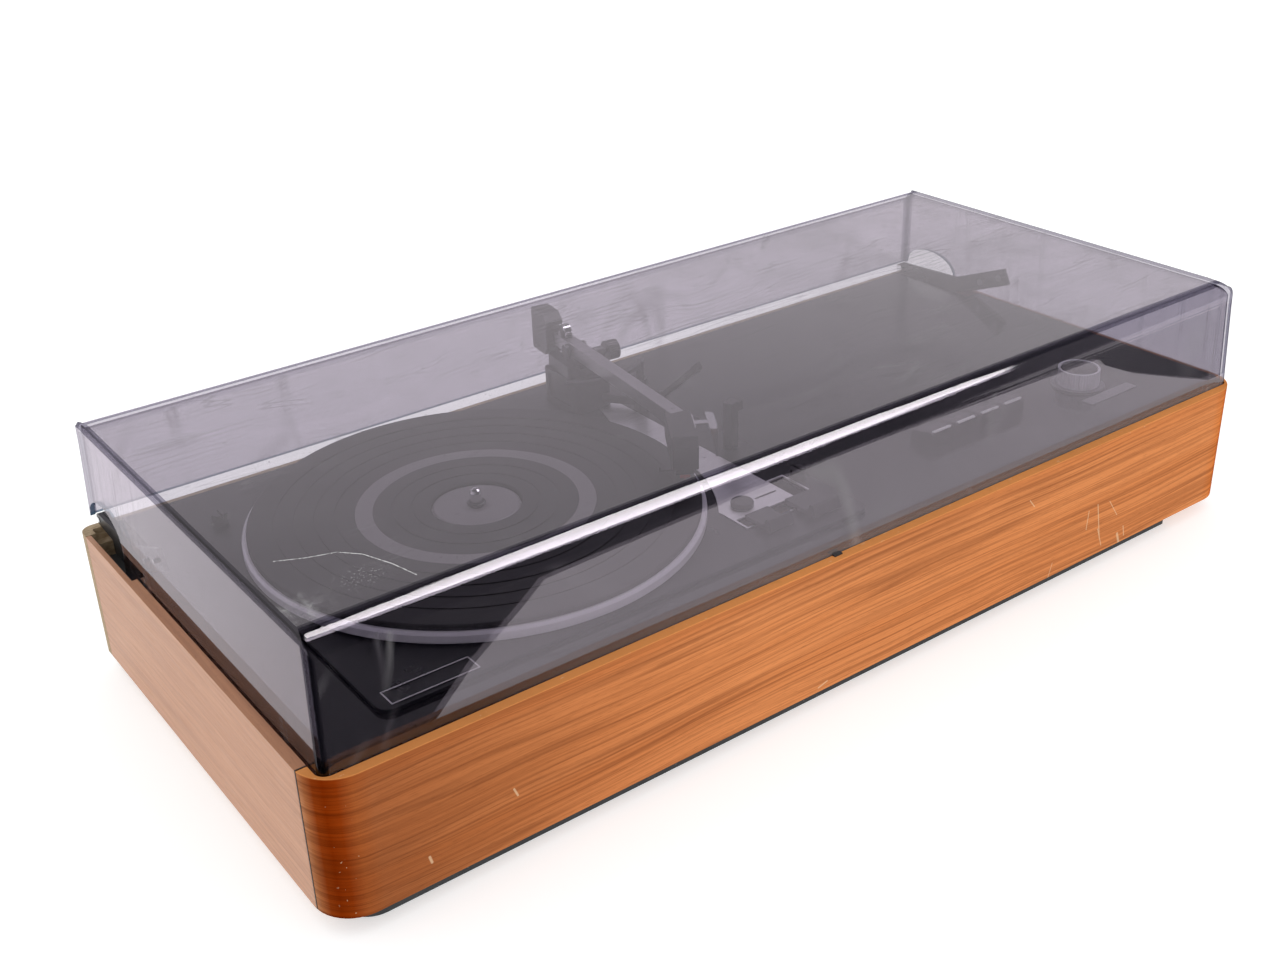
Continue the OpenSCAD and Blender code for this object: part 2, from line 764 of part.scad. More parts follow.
bearing_r = 9;
flange_r = 15;
flange_t = 2;

module bearing_housing() {
    bore_z = pan_z - bearing_l + 3;
    color("#b9b9bb") seat() translate([platter_x, platter_y, 0]) difference() {
        union() {
            translate([0, 0, pan_z]) cylinder(h = flange_t, r = flange_r);
            translate([0, 0, pan_z - bearing_l]) cylinder(h = bearing_l, r = bearing_r - run_fit);
        }
        translate([0, 0, bore_z]) cylinder(h = bearing_l + flange_t, r = shaft_r + run_fit);
        for (a = [0 : 120 : 240]) rotate(a) translate([flange_r - 3, 0, pan_z - 1])
            cylinder(h = flange_t + 2, r = 1.2);
    }
}

module spindle() {
    low = pan_z - bearing_l + 3 + pass_gap;
    color("silver") seat() translate([platter_x, platter_y, 0]) rotate_extrude()
        polygon([[0, low], [shaft_r - 1, low], [shaft_r, low + 1], [shaft_r, platter_top],
            [tip_r, platter_top], [tip_r, platter_top + tip_h - 3],
            [tip_r * 0.8, platter_top + tip_h - 1.2], [tip_r * 0.45, platter_top + tip_h - 0.3],
            [0, platter_top + tip_h]]);
}

module platter() {
    hub_z = pan_z + flange_t + 1.2;
    rib_r = platter_r * 0.5;
    color("#a7a7aa") seat() translate([platter_x, platter_y, 0]) rotate_extrude($fn = 180)
        polygon([[shaft_r, hub_z], [hub_r - 1, hub_z], [hub_r, web_z - 2], [hub_r + 3, web_z],
            [rib_r, web_z], [rib_r, web_z - 1], [rib_r + 3, web_z - 1], [rib_r + 3, web_z],
            [rim_inner, web_z], [rim_inner, platter_z], [platter_r - 0.8, platter_z],
            [platter_r, platter_z + 0.8], [platter_r, platter_top - platter_bevel],
            [platter_r - platter_bevel, platter_top], [shaft_r, platter_top]]);
}

mat_hole = disc_r + pass_gap;
ring_deep = 0.8;

// Rubber mat with a raised edge, low grooves and a seat for the pale ring
module platter_mat() {
    groove = 0.5;
    grooves = [for (r = [38, 50, 84, 96, 108, 120]) r];
    color("#0f0f11") seat() translate([platter_x, platter_y, platter_top]) difference() {
        rotate_extrude($fn = 180) polygon([[mat_hole, 0], [mat_r, 0], [mat_r, mat_t - 0.8],
            [mat_r - 0.8, mat_t], [mat_hole + 1, mat_t], [mat_hole, mat_t - 1]]);
        rotate_extrude($fn = 180) {
            for (r = grooves) translate([r, mat_t - groove]) square([1.6, 1]);
            translate([ring_in - run_fit, mat_t - ring_deep])
                square([ring_out - ring_in + 2 * run_fit, 2]);
        }
    }
}

module mat_ring() {
    color("#77777a") seat() translate([platter_x, platter_y, mat_top - ring_deep])
        rotate_extrude($fn = 180) translate([ring_in, 0]) square([ring_out - ring_in, ring_deep]);
}

module centre_disc() {
    color("#6f6f72") seat() translate([platter_x, platter_y, platter_top]) rotate_extrude()
        polygon([[shaft_r + pass_gap, 0], [disc_r, 0], [disc_r, 1.2], [disc_r - 1.5, 2],
            [10, 2.2], [tip_r + pass_gap, 1.4], [tip_r + pass_gap, 0.6],
            [shaft_r + pass_gap, 0.6]]);
}

motor_top = pan_z - sheet_t - 6;

// Shaded pole motor hung below the pan: iron stack, coil, two bearing bridges and posts
module motor() {
    post_off = motor_w / 2 - 5;
    color("#8f8f8c") seat() translate([platter_x + pulley_at[0], platter_y + pulley_at[1], 0])
        difference() {
            union() {
                translate([-motor_w / 2, -motor_w / 2, motor_top - 8 - motor_h])
                    cube([motor_w, motor_w * 0.72, motor_h]);
                translate([-motor_w / 2 + 8, motor_w * 0.22, motor_top - 6 - motor_h])
                    cube([motor_w - 16, motor_w * 0.28, motor_h - 4]);
                for (z = [motor_top - 2, motor_top - 16 - motor_h])
                    translate([-motor_w / 2, -6, z]) cube([motor_w, 12, 2]);
                for (x = [-post_off, post_off]) translate([x, 0, motor_top - 16 - motor_h])
                    cylinder(h = motor_h + 22, r = 2.5);
            }
            translate([0, 0, motor_top - 20 - motor_h])
                cylinder(h = motor_h + 40, r = motor_shaft_r + run_fit);
        }
}

module motor_pulley() {
    step_z = idler_z - 0.5;
    color("#c9a65a") seat() translate([platter_x + pulley_at[0], platter_y + pulley_at[1], 0])
        rotate_extrude() polygon([[0, motor_top - 14 - motor_h],
            [motor_shaft_r, motor_top - 14 - motor_h], [motor_shaft_r, pan_z + 2],
            [step_r, pan_z + 2], [step_r, step_z - 0.6], [pulley_r, step_z],
            [pulley_r, web_z - 0.5], [0, web_z - 0.5]]);
}

idler_hole = 2;
idler_post = 5;
idler_plate = 2;

module idler_wheel() {
    color("#39393c") seat() translate([platter_x + idler_at[0], platter_y + idler_at[1], 0])
        rotate_extrude() polygon([[idler_hole + run_fit, idler_z - 2.4], [4.5, idler_z - 2.4],
            [4.5, idler_z + 0.6], [idler_r - 4, idler_z + 0.6], [idler_r - 4, idler_z],
            [idler_r - 0.4, idler_z], [idler_r, idler_z + 0.4], [idler_r, idler_z + idler_t - 0.4],
            [idler_r - 0.4, idler_z + idler_t], [idler_r - 4, idler_z + idler_t],
            [idler_r - 4, idler_z + idler_t - 0.6], [idler_hole + run_fit, idler_z + idler_t - 0.6]]);
}

// Swinging arm with a stud that the idler wheel turns on
module idler_arm() {
    half_w = 5;
    low = pan_z + idler_plate;
    color("#8b8b8e") seat() translate([platter_x, platter_y, 0]) difference() {
        union() {
            translate([idler_at[0], idler_at[1] - half_w, low])
                cube([idler_arm_l, 2 * half_w, idler_plate]);
            for (p = [idler_at, idler_pivot]) translate([p[0], p[1], low])
                cylinder(h = idler_plate, r = half_w);
            translate([idler_at[0], idler_at[1], low])
                cylinder(h = idler_z + idler_t - low, r = idler_hole);
            translate([idler_pivot[0] - 12, idler_pivot[1] + half_w - 1, low])
                cube([3, 6, idler_plate]);
        }
        translate([idler_pivot[0], idler_pivot[1], low - 1])
            cylinder(h = idler_plate + 2, r = idler_hole + run_fit);
    }
}

// Pale metal plate with a hollow left edge, a long tail and two windows for the levers
module control_plate() {
    tail_y = unit_y + unit_d - 18;
    knee_y = platter_y + 47;
    color("#b4b4b2") seat() translate([0, 0, unit_z]) linear_extrude(control_t) difference() {
        polygon([[plate_edge - 47.5, control_y], [control_x, control_y],
            [control_x, control_y + 38 + border_w], [plate_edge + 1, control_y + 38 + border_w],
            [plate_edge + 1, tail_y], [plate_edge - 1, tail_y], [plate_edge - 26, knee_y],
            [platter_x + 90, platter_y], [plate_edge - 47.5, control_y + 24]]);
        translate([platter_x, platter_y]) circle(control_arc, $fn = 180);
        box2d(window_front);
        box2d(window_right);
        translate(selector_at) circle(stem_r + run_fit);
        translate(selector_at + [12, 1]) square([17, 1.6]);
        translate(pivot_at) circle(journal_r + 3);
    }
}

stem_r = 3;

module selector_knob() {
    color("#1c1c1f") seat() translate([selector_at[0], selector_at[1], unit_z]) {
        translate([0, 0, control_t + 0.3]) rotate_extrude() polygon([[0, 0], [selector_r, 0],
            [selector_r, selector_h - 0.8], [selector_r - 0.8, selector_h], [0, selector_h]]);
        translate([0, 0, -6]) cylinder(h = 6 + control_t + 0.4, r = stem_r);
    }
}

// Side view of a paddle that reaches over the control plate's front border
module paddle(at_y, reach) {
    low = unit_z + control_t + 0.6;
    polygon([[at_y, unit_z - 8], [at_y, low], [at_y - reach, low], [at_y - reach - 1, low + 1.2],
        [at_y - reach + 1.5, low + paddle_h], [at_y - reach + 4, low + paddle_h],
        [at_y - reach + 6, low + 3], [at_y + 4, low + 3], [at_y + 4, unit_z - 8]]);
}

start_x = plate_edge - 42;
start_w = 18;
speed_x = plate_edge - 10;
speed_w = 21;
stem_w = 5;

module start_lever() {
    at_y = control_y + border_w + 3.5;
    color("#161619") seat() intersection() {
        along_x(start_x, start_x + start_w) paddle(at_y, 19);
        union() {
            translate([start_x, 0, unit_z + control_t]) cube([start_w, at_y + 10, 30]);
            translate([start_x + start_w / 2 - stem_w / 2, 0, unit_z - 10])
                cube([stem_w, at_y + 10, 30]);
        }
    }
}

module speed_lever() {
    at_y = control_y + border_w + 3.5;
    stem_x = plate_edge + border_w + window_r_w / 2 - stem_w / 2;
    color("#161619") seat() intersection() {
        along_x(speed_x, speed_x + speed_w) paddle(at_y, 22);
        union() {
            translate([speed_x, 0, unit_z + control_t]) cube([speed_w, at_y + 10, 30]);
            translate([stem_x, 0, unit_z - 10]) cube([stem_w, at_y + 10, 30]);
        }
    }
}

// Thin bright frame at the front left of the unit plate, with nothing in it
module badge_frame() {
    frame_l = 52;
    frame_d = 13;
    line = 0.9;
    color("#c6c6c4") seat() translate([unit_x + 7, unit_y + 3, unit_z]) difference() {
        cube([frame_l, frame_d, 0.6]);
        translate([line, line, -1]) cube([frame_l - 2 * line, frame_d - 2 * line, 3]);
    }
}

post_at = pivot_at + rail_reach * [sin(post_angle), -cos(post_angle)];

// Footprint of the pedestal's block
pedestal_dx = 1;
module pedestal_foot(grow) {
    x0 = pivot_at[0] + pedestal_dx - pedestal_w / 2 - grow;
    y0 = pivot_at[1] - pedestal_d / 2 - grow;
    rounded(x0, y0, x0 + pedestal_w + 2 * grow, y0 + pedestal_d + 2 * grow, 3, 3);
}

// Moulded foot of the arm, with the tower that guides the cueing rail
tower_r = 5;
module arm_pedestal() {
    web_y = pivot_at[1] - pedestal_d / 2 + 3;
    panel_in = 6;
    panel_deep = 1;
    panel_x = pivot_at[0] + pedestal_dx - pedestal_w / 2;
    color("#1d1d20") seat() difference() {
        union() {
            translate([0, 0, unit_z + control_t]) linear_extrude(pedestal_h - control_t)
                pedestal_foot(0);
            translate([post_at[0], post_at[1], unit_z]) cylinder(h = pedestal_h - 2, r = tower_r);
            translate([0, 0, unit_z + control_t + 4]) linear_extrude(6)
                polygon([[post_at[0] - 4, post_at[1]], [post_at[0] + 3, post_at[1] + 3],
                    [pivot_at[0] + 14, web_y + 6], [pivot_at[0] + 6, web_y]]);
        }
        translate([pivot_at[0], pivot_at[1], unit_z - 1])
            cylinder(h = pedestal_h + 2, r = journal_r + run_fit);
        translate([panel_x - 1, pivot_at[1] - pedestal_d / 2 + panel_in, unit_z + panel_in])
            cube([1 + panel_deep, pedestal_d - 2 * panel_in, pedestal_h - 1.5 * panel_in]);
        translate([post_at[0], post_at[1], unit_z - 1])
            cylinder(h = pedestal_h + 2, r = post_r + run_fit);
    }
}

// Puts a shape that is drawn round the arm's pivot, with the arm straight forward, in its place
module at_pivot() {
    seat() translate([pivot_at[0], pivot_at[1], 0]) rotate(-arm_angle) children();
}

yoke_front = 17;
yoke_back = 17;
cheek_in = tube_w / 2 + pass_gap;
cheek_t = 8.5;
ear_r = 4.4;
stub_r = 2;
bias_x = 24;
bias_arm = 21;
bias_z = unit_z + 34.5;
axle_z = tube_z - 1;

// Swivel block that carries the arm between two cheeks, with the stub for the side force knob
module arm_yoke() {
    block_top = unit_z + 36;
    half = cheek_in + cheek_t;
    color("#26262a") at_pivot() difference() {
        union() {
            translate([0, 0, unit_z + 4]) cylinder(h = yoke_z - unit_z - 4 + eps, r = journal_r);
            translate([0, 0, yoke_z]) linear_extrude(block_top - yoke_z)
                rounded(-half, -yoke_front, half, yoke_back, 3, 3);
            for (s = [-1, 1]) translate([s * (cheek_in + 1.5) - 1.5, 0, 0]) {
                translate([0, -ear_r, block_top - eps])
                    cube([3, 2 * ear_r, axle_z - block_top + eps]);
                translate([0, 0, axle_z]) rotate([0, 90, 0]) cylinder(h = 3, r = ear_r);
            }
            translate([-cheek_in - 1, 0, axle_z]) rotate([0, 90, 0])
                cylinder(h = 2 * cheek_in + 2, r = tip_pin_r);
            translate([half - 1, 0, bias_z]) rotate([0, 90, 0])
                cylinder(h = bias_x + bias_w + 2 - half, r = stub_r);
            translate([half - 1, 0, bias_z]) rotate([0, 90, 0])
                cylinder(h = bias_arm + 1 - half, r = ear_r);
        }
        translate([-cheek_in, -yoke_front - 1, unit_z + 33])
            cube([2 * cheek_in, yoke_front + yoke_back + 2, 4]);
    }
}

module bias_knob() {
    ribs = 24;
    color("#161619") at_pivot() translate([bias_x, 0, bias_z]) rotate([0, 90, 0])
        difference() {
            linear_extrude(bias_w) difference() {
                circle(bias_r);
                for (i = [0 : ribs - 1]) rotate(i * 360 / ribs) translate([bias_r, 0])
                    circle(0.45, $fn = 4);
            }
            translate([0, 0, -1]) cylinder(h = bias_w + 2, r = stub_r + run_fit);
        }
}

tube_wall = 1;

// Folded channel, open below, with a hole for the pivot pin and a slot for the force wheel
module arm_tube() {
    low = tube_z - tube_h / 2;
    color("#8d8d90") at_pivot() difference() {
        translate([-tube_w / 2, -tube_front, low]) cube([tube_w, tube_front + tube_back, tube_h]);
        translate([-tube_w / 2 + tube_wall, -tube_front - 1, low - 1])
            cube([tube_w - 2 * tube_wall, tube_front - 12, tube_h + 1 - tube_wall]);
        translate([-cheek_in - 1, 0, axle_z]) rotate([0, 90, 0])
            cylinder(h = 2 * cheek_in + 2, r = tip_pin_r + run_fit);
        translate([-wheel_w / 2 - pass_gap, wheel_y - wheel_r - pass_gap, low + 2])
            cube([wheel_w + 2 * pass_gap, 2 * (wheel_r + pass_gap), tube_h]);
    }
    color("#8d8d90") at_pivot() for (s = [-1, 1])
        translate([s * (wheel_w / 2 + 1) - 0.7, wheel_y, tube_z]) {
            translate([0, -2, 0]) cube([1.4, 4, wheel_z - tube_z]);
            translate([0, 0, wheel_z - tube_z]) rotate([0, 90, 0]) cylinder(h = 1.4, r = 2);
        }
    color("#8d8d90") at_pivot() translate([-wheel_w / 2 - 1, wheel_y, wheel_z]) rotate([0, 90, 0])
        cylinder(h = wheel_w + 2, r = 1);
}

wheel_r = 6.5;
wheel_w = 5;
wheel_y = 14;
wheel_z = tube_z + 6.5;

module force_wheel() {
    ribs = 16;
    color("silver") at_pivot() translate([-wheel_w / 2, wheel_y, wheel_z]) rotate([0, 90, 0])
        linear_extrude(wheel_w) difference() {
            circle(wheel_r);
            circle(1 + run_fit);
            for (i = [0 : ribs - 1]) rotate(i * 360 / ribs) translate([wheel_r, 0]) circle(0.6, $fn = 4);
        }
}

weight_y = tube_back + pass_gap + 3;

// Tall block on the arm's rear end, with the top front edge cut back
module counterweight() {
    low = head_top + 12 - weight_h;
    y0 = weight_y;
    y1 = weight_y + weight_l;
    x0 = -weight_w / 2 - weight_shift;
    color("#17171a") at_pivot() difference() {
        along_x(x0, x0 + weight_w) polygon([[y0, low + 6], [y0 + 4, low], [y1, low],
            [y1, low + weight_h], [y0 + 6, low + weight_h], [y0, low + weight_h - 5]]);
        translate([0, y0 - 1, tube_z]) rotate([-90, 0, 0]) cylinder(h = weight_l, r = rod_r + run_fit);
        translate([-weight_shift, y1 - screw_back, low - 1])
            cylinder(h = tube_z - rod_r - low, r = 1.2);
    }
}

rod_r = 2.5;
screw_back = 6;

// Rod that the counterweight slides on
module weight_rod() {
    color("silver") at_pivot() translate([0, tube_back, tube_z]) rotate([-90, 0, 0])
        cylinder(h = weight_l - 1, r = rod_r);
}

// Screw under the counterweight that holds it on its rod
module weight_screw() {
    low = head_top + 12 - weight_h;
    color("silver") at_pivot() translate([-weight_shift, weight_y + weight_l - screw_back, 0]) {
        translate([0, 0, low - 3]) cylinder(h = 3, r = 3.2);
        translate([0, 0, low - eps]) cylinder(h = tube_z - rod_r - 1 - low, r = 1.2);
    }
}

// Places a shape drawn round the head's rear end, with the head straight forward
module at_head() {
    at_pivot() translate([0, -tube_front, 0]) rotate(-head_angle) children();
}

// Moulded head: a hood that is open below, with a sloping nose
module headshell() {
    wall = 1.6;
    neck = 14;
    color("#141417") {
        difference() {
            at_head() difference() {
                along_x(-head_w / 2, head_w / 2) polygon([[2, head_top], [-head_l + 6, head_top],
                    [-head_l, head_top - 5], [-head_l + 1.5, head_z], [2, head_z + 4]]);
                along_x(-head_w / 2 + wall, head_w / 2 - wall) polygon([[2 - wall, head_top - wall],
                    [-head_l + 7, head_top - wall], [-head_l + wall + 0.4, head_top - 6],
                    [-head_l + wall + 1.5, head_z - 1], [2 - wall, head_z - 1]]);
            }
            at_pivot() translate([-tube_w / 2 - run_fit, -tube_front - run_fit, head_top - tube_h - 0.2])
                cube([tube_w + 2 * run_fit, neck, tube_h + 1]);
        }
        at_pivot() translate([-tube_w / 2 + tube_wall + 0.1, -tube_front + 1.5, tube_z - tube_h / 2])
            cube([tube_w - 2 * tube_wall - 0.2, neck, tube_h - tube_wall - 0.1]);
    }
}

cart_w = 11;
cart_l = 22;

// Pick-up with the small lever that changes its needle, which looks out on the left of the head
module cartridge() {
    low = tip_z + 3.4;
    lever_y = -head_l + 4.5;
    lever_out = 8;
    color("#2a2a2e") at_head() {
        along_x(-cart_w / 2, cart_w / 2)
            polygon([[-head_l + 4, low + 3], [-head_l + 6, low], [-head_l + 4 + cart_l, low],
                [-head_l + 4 + cart_l, head_top - 1.6], [-head_l + 8, head_top - 1.6],
                [-head_l + 4, head_top - 8]]);
        translate([-head_w / 2 - lever_out, lever_y, head_z - 1.6])
            cube([lever_out + head_w / 2 - cart_w / 2 + 1, 2.4, 1]);
        translate([-head_w / 2 - lever_out, lever_y, head_z - 1.6]) cube([1.4, 2.4, 3]);
    }
}

module stylus() {
    low = tip_z + 3.4;
    color("#c0392b") at_head() {
        translate([-3, -head_l + 5, low - 1.6]) cube([6, 12, 1.6]);
        translate([0, -head_l + 6.5, tip_z])
            cylinder(h = low - 1.6 - tip_z, r1 = 0.3, r2 = 0.9, $fn = 24);
    }
}

// Bright sheet on the right of the head: a foot against the side, a strip and a tongue bent down
module finger_lift() {
    blade = 1;
    side = head_w / 2;
    shelf_z = head_top - 1.8;
    reach = side + 14.2;
    strip = 5.2;
    tongue_y = -25;
    tongue_l = 19;
    color("silver") at_head() {
        translate([side, -22, shelf_z - 5]) cube([blade, 20, 5 + blade]);
        translate([0, 0, shelf_z]) linear_extrude(blade)
            polygon([[side, -12], [reach - strip, -12], [reach - strip, 0], [reach, -2], [reach, -20],
                [reach - 1, tongue_y], [reach - 5, tongue_y], [reach - strip, -17], [side, -17]]);
        translate([0, tongue_y, shelf_z + blade]) rotate([90, 0, 0])
            linear_extrude(blade, center = true)
                polygon([[reach - 5, 0], [reach - 0.6, 0], [reach - 0.4, -tongue_l],
                    [reach - 1.6, -tongue_l]]);
    }
}

rest_z = tube_z - tube_h / 2 - 5;
clip_x = 6.5;
clip_z = rest_z - 4.5;
clip_pin_r = 1.2;
post_half = 3.5;

// Post that the lowered arm lies on, with a lug for the hook
module arm_rest() {
    color("#19191c") seat() translate([pivot_at[0], pivot_at[1], 0]) rotate(rest_angle)
        translate([0, -rest_reach, 0]) difference() {
            union() {
                translate([0, 0, unit_z]) cylinder(h = 2, r = 5);
                translate([-post_half, -post_half, unit_z])
                    cube([2 * post_half, 2 * post_half, rest_z - unit_z]);
                translate([0, -post_half, clip_z - 3]) cube([clip_x + 2.5, 2 * post_half, 6]);
            }
            translate([clip_x, -10, clip_z]) rotate([-90, 0, 0])
                cylinder(h = 20, r = clip_pin_r + run_fit);
        }
}

// Folded-down hook that turns up over the parked arm
module arm_clip() {
    reach = head_top + 1.6 - clip_z;
    hook = clip_x + 9.5;
    half = 1.6;
    thick = 2.4;
    color("#101012") seat() translate([pivot_at[0], pivot_at[1], 0]) rotate(rest_angle)
        translate([clip_x, -rest_reach, clip_z]) {
            translate([0, -post_half, 0]) rotate([-90, 0, 0])
                cylinder(h = 2 * post_half + 1, r = clip_pin_r);
            translate([0, post_half + pass_gap, 0]) {
                rotate([-90, 0, 0]) cylinder(h = thick, r = 3);
                translate([-half, 0, -reach]) cube([2 * half, thick, reach]);
                translate([-half, 0, -reach]) cube([hook + half - clip_x, thick, 1.6]);
            }
        }
}

cue_hub_r = 4;
cue_y = post_at[1];
cue_z = unit_z + cue_hub_r + 0.8;
cue_pin_r = 1.6;

// Lever with a hub on a bracket pin, flat bar and pale finger tip
module cue_lever() {
    color("#1b1b1e") seat() difference() {
        along_x(cue_pivot_x, cue_pivot_x + 3) translate([cue_y, cue_z]) {
            circle(cue_hub_r);
            rotate(180 - cue_angle) translate([0, -2]) square([cue_l - 9, 4]);
            rotate(180 - cue_angle) translate([cue_l - 9, -2.6]) square([9, 5.2]);
        }
        along_x(cue_pivot_x - 1, cue_pivot_x + 4) translate([cue_y, cue_z])
            circle(cue_pin_r + run_fit);
    }
}

// Curved rail under the arm, on a post that rises and falls in the pedestal's tower
module cue_rail() {
    inner = 51;
    sweep = inner - 9 + post_angle + 4;
    rail_t = 2.6;
    color("#202023") seat() {
        translate([pivot_at[0], pivot_at[1], rail_top - rail_t]) rotate(-inner + 9 - 90)
            rotate_extrude(angle = sweep, $fn = 180) translate([rail_reach - rail_w / 2, 0])
                square([rail_w, rail_t]);
        translate([post_at[0], post_at[1], unit_z + 6])
            cylinder(h = rail_top - unit_z - 6, r = post_r);
    }
}

key_travel = 4;
key_low = deck_z - 7;
stem_d = 4;

// Side view of a key, with its front edge at zero
module key_outline() {
    top = deck_z + key_h;
    polygon([[0, key_low], [0, top - 1.5], [0.5, top - 0.4], [1.6, top], [key_d - 3, top - 2.6],
        [key_d - 0.8, top - 3.8], [key_d, top - 5], [key_d, key_low]]);
}

module key(i) {
    stem_z = switch_z + 5;
    color("#1a1a1e") seat() translate([key_x(i), key_y, 0]) {
        along_x(-key_w / 2, key_w / 2) key_outline();
        translate([-stem_w / 2, key_d / 2 - stem_d / 2, stem_z])
            cube([stem_w, stem_d, key_low - stem_z + eps]);
    }
}

switch_z = ledge_z - 30;
switch_top = key_low - key_travel - 2;

// Row of latching switches below the deck
module switch_bank() {
    x0 = key_x(0) - key_w / 2 - 4;
    x1 = key_x(key_count - 1) + key_w / 2 + 4;
    color("#4b4b46") seat() difference() {
        union() {
            translate([x0, key_y - 2, switch_top - 3]) cube([x1 - x0, key_d + 4, 3]);
            for (i = [0 : key_count - 1])
                translate([key_x(i) - 5, key_y + key_d / 2 - 6, switch_z])
                    cube([10, 12, switch_top - 3 - switch_z + eps]);
        }
        for (i = [0 : key_count - 1]) translate([key_x(i) - stem_w / 2 - pass_gap,
            key_y + key_d / 2 - stem_d / 2 - pass_gap, switch_z + 0.6])
                cube([stem_w + 2 * pass_gap, stem_d + 2 * pass_gap, switch_top - switch_z]);
    }
}

// Knob with a ribbed side, a dished top, a low skirt and the control's shaft
module volume_knob() {
    ribs = 48;
    skirt_t = 1.2;
    low = deck_z + 0.4;
    color("#b8b8b6") seat() translate([from_right(volume_right), volume_y, 0]) {
        translate([0, 0, low]) rotate_extrude() polygon([[0, 0], [skirt_r, 0],
            [skirt_r - 0.6, skirt_t], [0, skirt_t]]);
        difference() {
            translate([0, 0, low + skirt_t - eps]) linear_extrude(volume_h - skirt_t) difference() {
                circle(volume_r);
                for (i = [0 : ribs - 1]) rotate(i * 360 / ribs) translate([volume_r, 0])
                    circle(0.5, $fn = 4);
            }
            translate([0, 0, low + volume_h - 1]) cylinder(h = 2, r = volume_r - 1.6);
        }
        translate([0, 0, ledge_z - 8]) cylinder(h = low - ledge_z + 8 + eps, r = volume_shaft_r);
    }
}

module volume_control() {
    body_r = 12;
    color("#6e6e68") seat() translate([from_right(volume_right), volume_y, 0]) difference() {
        union() {
            translate([0, 0, ledge_z - 14]) cylinder(h = 12, r = body_r);
            translate([0, 0, ledge_z - 3]) cylinder(h = deck_t + 2.6, r = bush_r);
            translate([-5, -body_r - 8, ledge_z - 12]) cube([10, 10, 1.4]);
        }
        translate([0, 0, ledge_z - 9]) cylinder(h = deck_t + 20, r = volume_shaft_r + run_fit);
    }
}

module label_plate() {
    label_y = volume_y - skirt_r - 1 - label_w;
    color("#9b9b98") seat() translate([from_right(volume_right) - 20, label_y, deck_z])
        cube([label_l, label_w, 0.5]);
}

amp_right = 290;
amp_back = 35;
amp_x = from_right(amp_right);
amp_y = plinth_d - rear_t - amp_back - board_w;

// Circuit board on pillars, with capacitors and a finned heat sink
module amplifier_board() {
    pillar_h = 10;
    pcb_z = bottom_t + pillar_h;
    fins = 9;
    color("#4d6b3c") seat() translate([amp_x, amp_y, 0]) {
        difference() {
            translate([0, 0, pcb_z]) cube([board_l, board_w, 1.6]);
            for (x = [6, board_l - 6], y = [6, board_w - 6]) translate([x, y, pcb_z - 1])
                cylinder(h = 4, r = 1.6);
        }
        for (x = [6, board_l - 6], y = [6, board_w - 6]) translate([x, y, bottom_t])
            cylinder(h = pillar_h, r = 3.5);
        for (i = [0 : 3]) translate([30 + i * 24, 28, pcb_z + 1.6])
            cylinder(h = 28 - i * 4, r = 9 - i);
        translate([20, board_w - 40, pcb_z + 1.6]) {
            cube([110, 30, 3]);
            for (i = [0 : fins - 1]) translate([i * 13.4, 0, 3]) cube([2.4, 30, 18]);
        }
    }
}

// Mains transformer: laminated core, coil on its bobbin and mounting feet
module transformer() {
    core_w = 56;
    core_h = 22;
    color("#6a5a4a") seat() translate([amp_x - core_l - 30, plinth_d - rear_t - core_w - 24, bottom_t]) {
        difference() {
            union() {
                translate([0, 0, 14]) cube([core_l, core_w, core_h]);
                for (x = [0, core_l - 12]) translate([x, 0, 0]) cube([12, core_w, 2]);
                for (x = [0, core_l - 2]) translate([x, 0, 0]) cube([2, core_w, 14 + eps]);
            }
            for (x = [6, core_l - 6], y = [6, core_w - 6]) translate([x, y, -1])
                cylinder(h = 4, r = 2);
        }
        translate([15, 8, 3]) cube([core_l - 30, core_w - 16, 11 + eps]);
        translate([15, 8, 14 + core_h - eps]) cube([core_l - 30, core_w - 16, 10]);
    }
}

// Plate behind the rear board's opening, with round sockets and the lead's inlet
module socket_plate() {
    plate_t = 2;
    color("#1e1e20") seat()
        translate([socket_x - socket_row - 6, plinth_d - rear_t - plate_t, socket_z])
            rotate([90, 0, 0]) translate([0, 0, -plate_t]) difference() {
                union() {
                    translate([0, -socket_pitch / 2 - 6, 0])
                        cube([socket_row + socket_pitch + 12, socket_pitch + 12, plate_t]);
                    for (i = [0 : socket_count - 1]) translate([18 + i * socket_pitch, 0, plate_t - eps])
                        cylinder(h = 9, r = socket_r + 1.5);
                }
                for (i = [0 : socket_count - 1]) translate([18 + i * socket_pitch, 0, -1])
                    difference() {
                        cylinder(h = 9, r = socket_r);
                        for (a = [-90 : 45 : 90]) rotate(a) translate([4.5, 0, 0])
                            cylinder(h = 9, r = 0.7);
                    }
                translate([18 + socket_row, 0, -1]) cylinder(h = plate_t + 2, r = inlet_r);
            }
}

front_panel();
left_side_panel();
right_side_panel();
rear_panel();
bottom_board();
base_skids();
foot_pads();
corner_blocks();
deck_panel();
front_buffer();
hinge_brackets();
hinge_pins();
hinge_arms();
cover_screws();
dust_cover();
unit_plate();
suspension_springs();
transit_screws();
bearing_housing();
platter();
platter_mat();
mat_ring();
centre_disc();
spindle();
motor();
motor_pulley();
idler_wheel();
idler_arm();
control_plate();
selector_knob();
start_lever();
speed_lever();
badge_frame();
arm_pedestal();
arm_yoke();
arm_tube();
headshell();
cartridge();
stylus();
finger_lift();
counterweight();
weight_rod();
weight_screw();
force_wheel();
bias_knob();
arm_rest();
arm_clip();
cue_lever();
cue_rail();
key(0);  // key_1
key(1);  // key_2
key(2);  // key_3
key(3);  // key_4
switch_bank();
volume_knob();
volume_control();
label_plate();
amplifier_board();
transformer();
socket_plate();
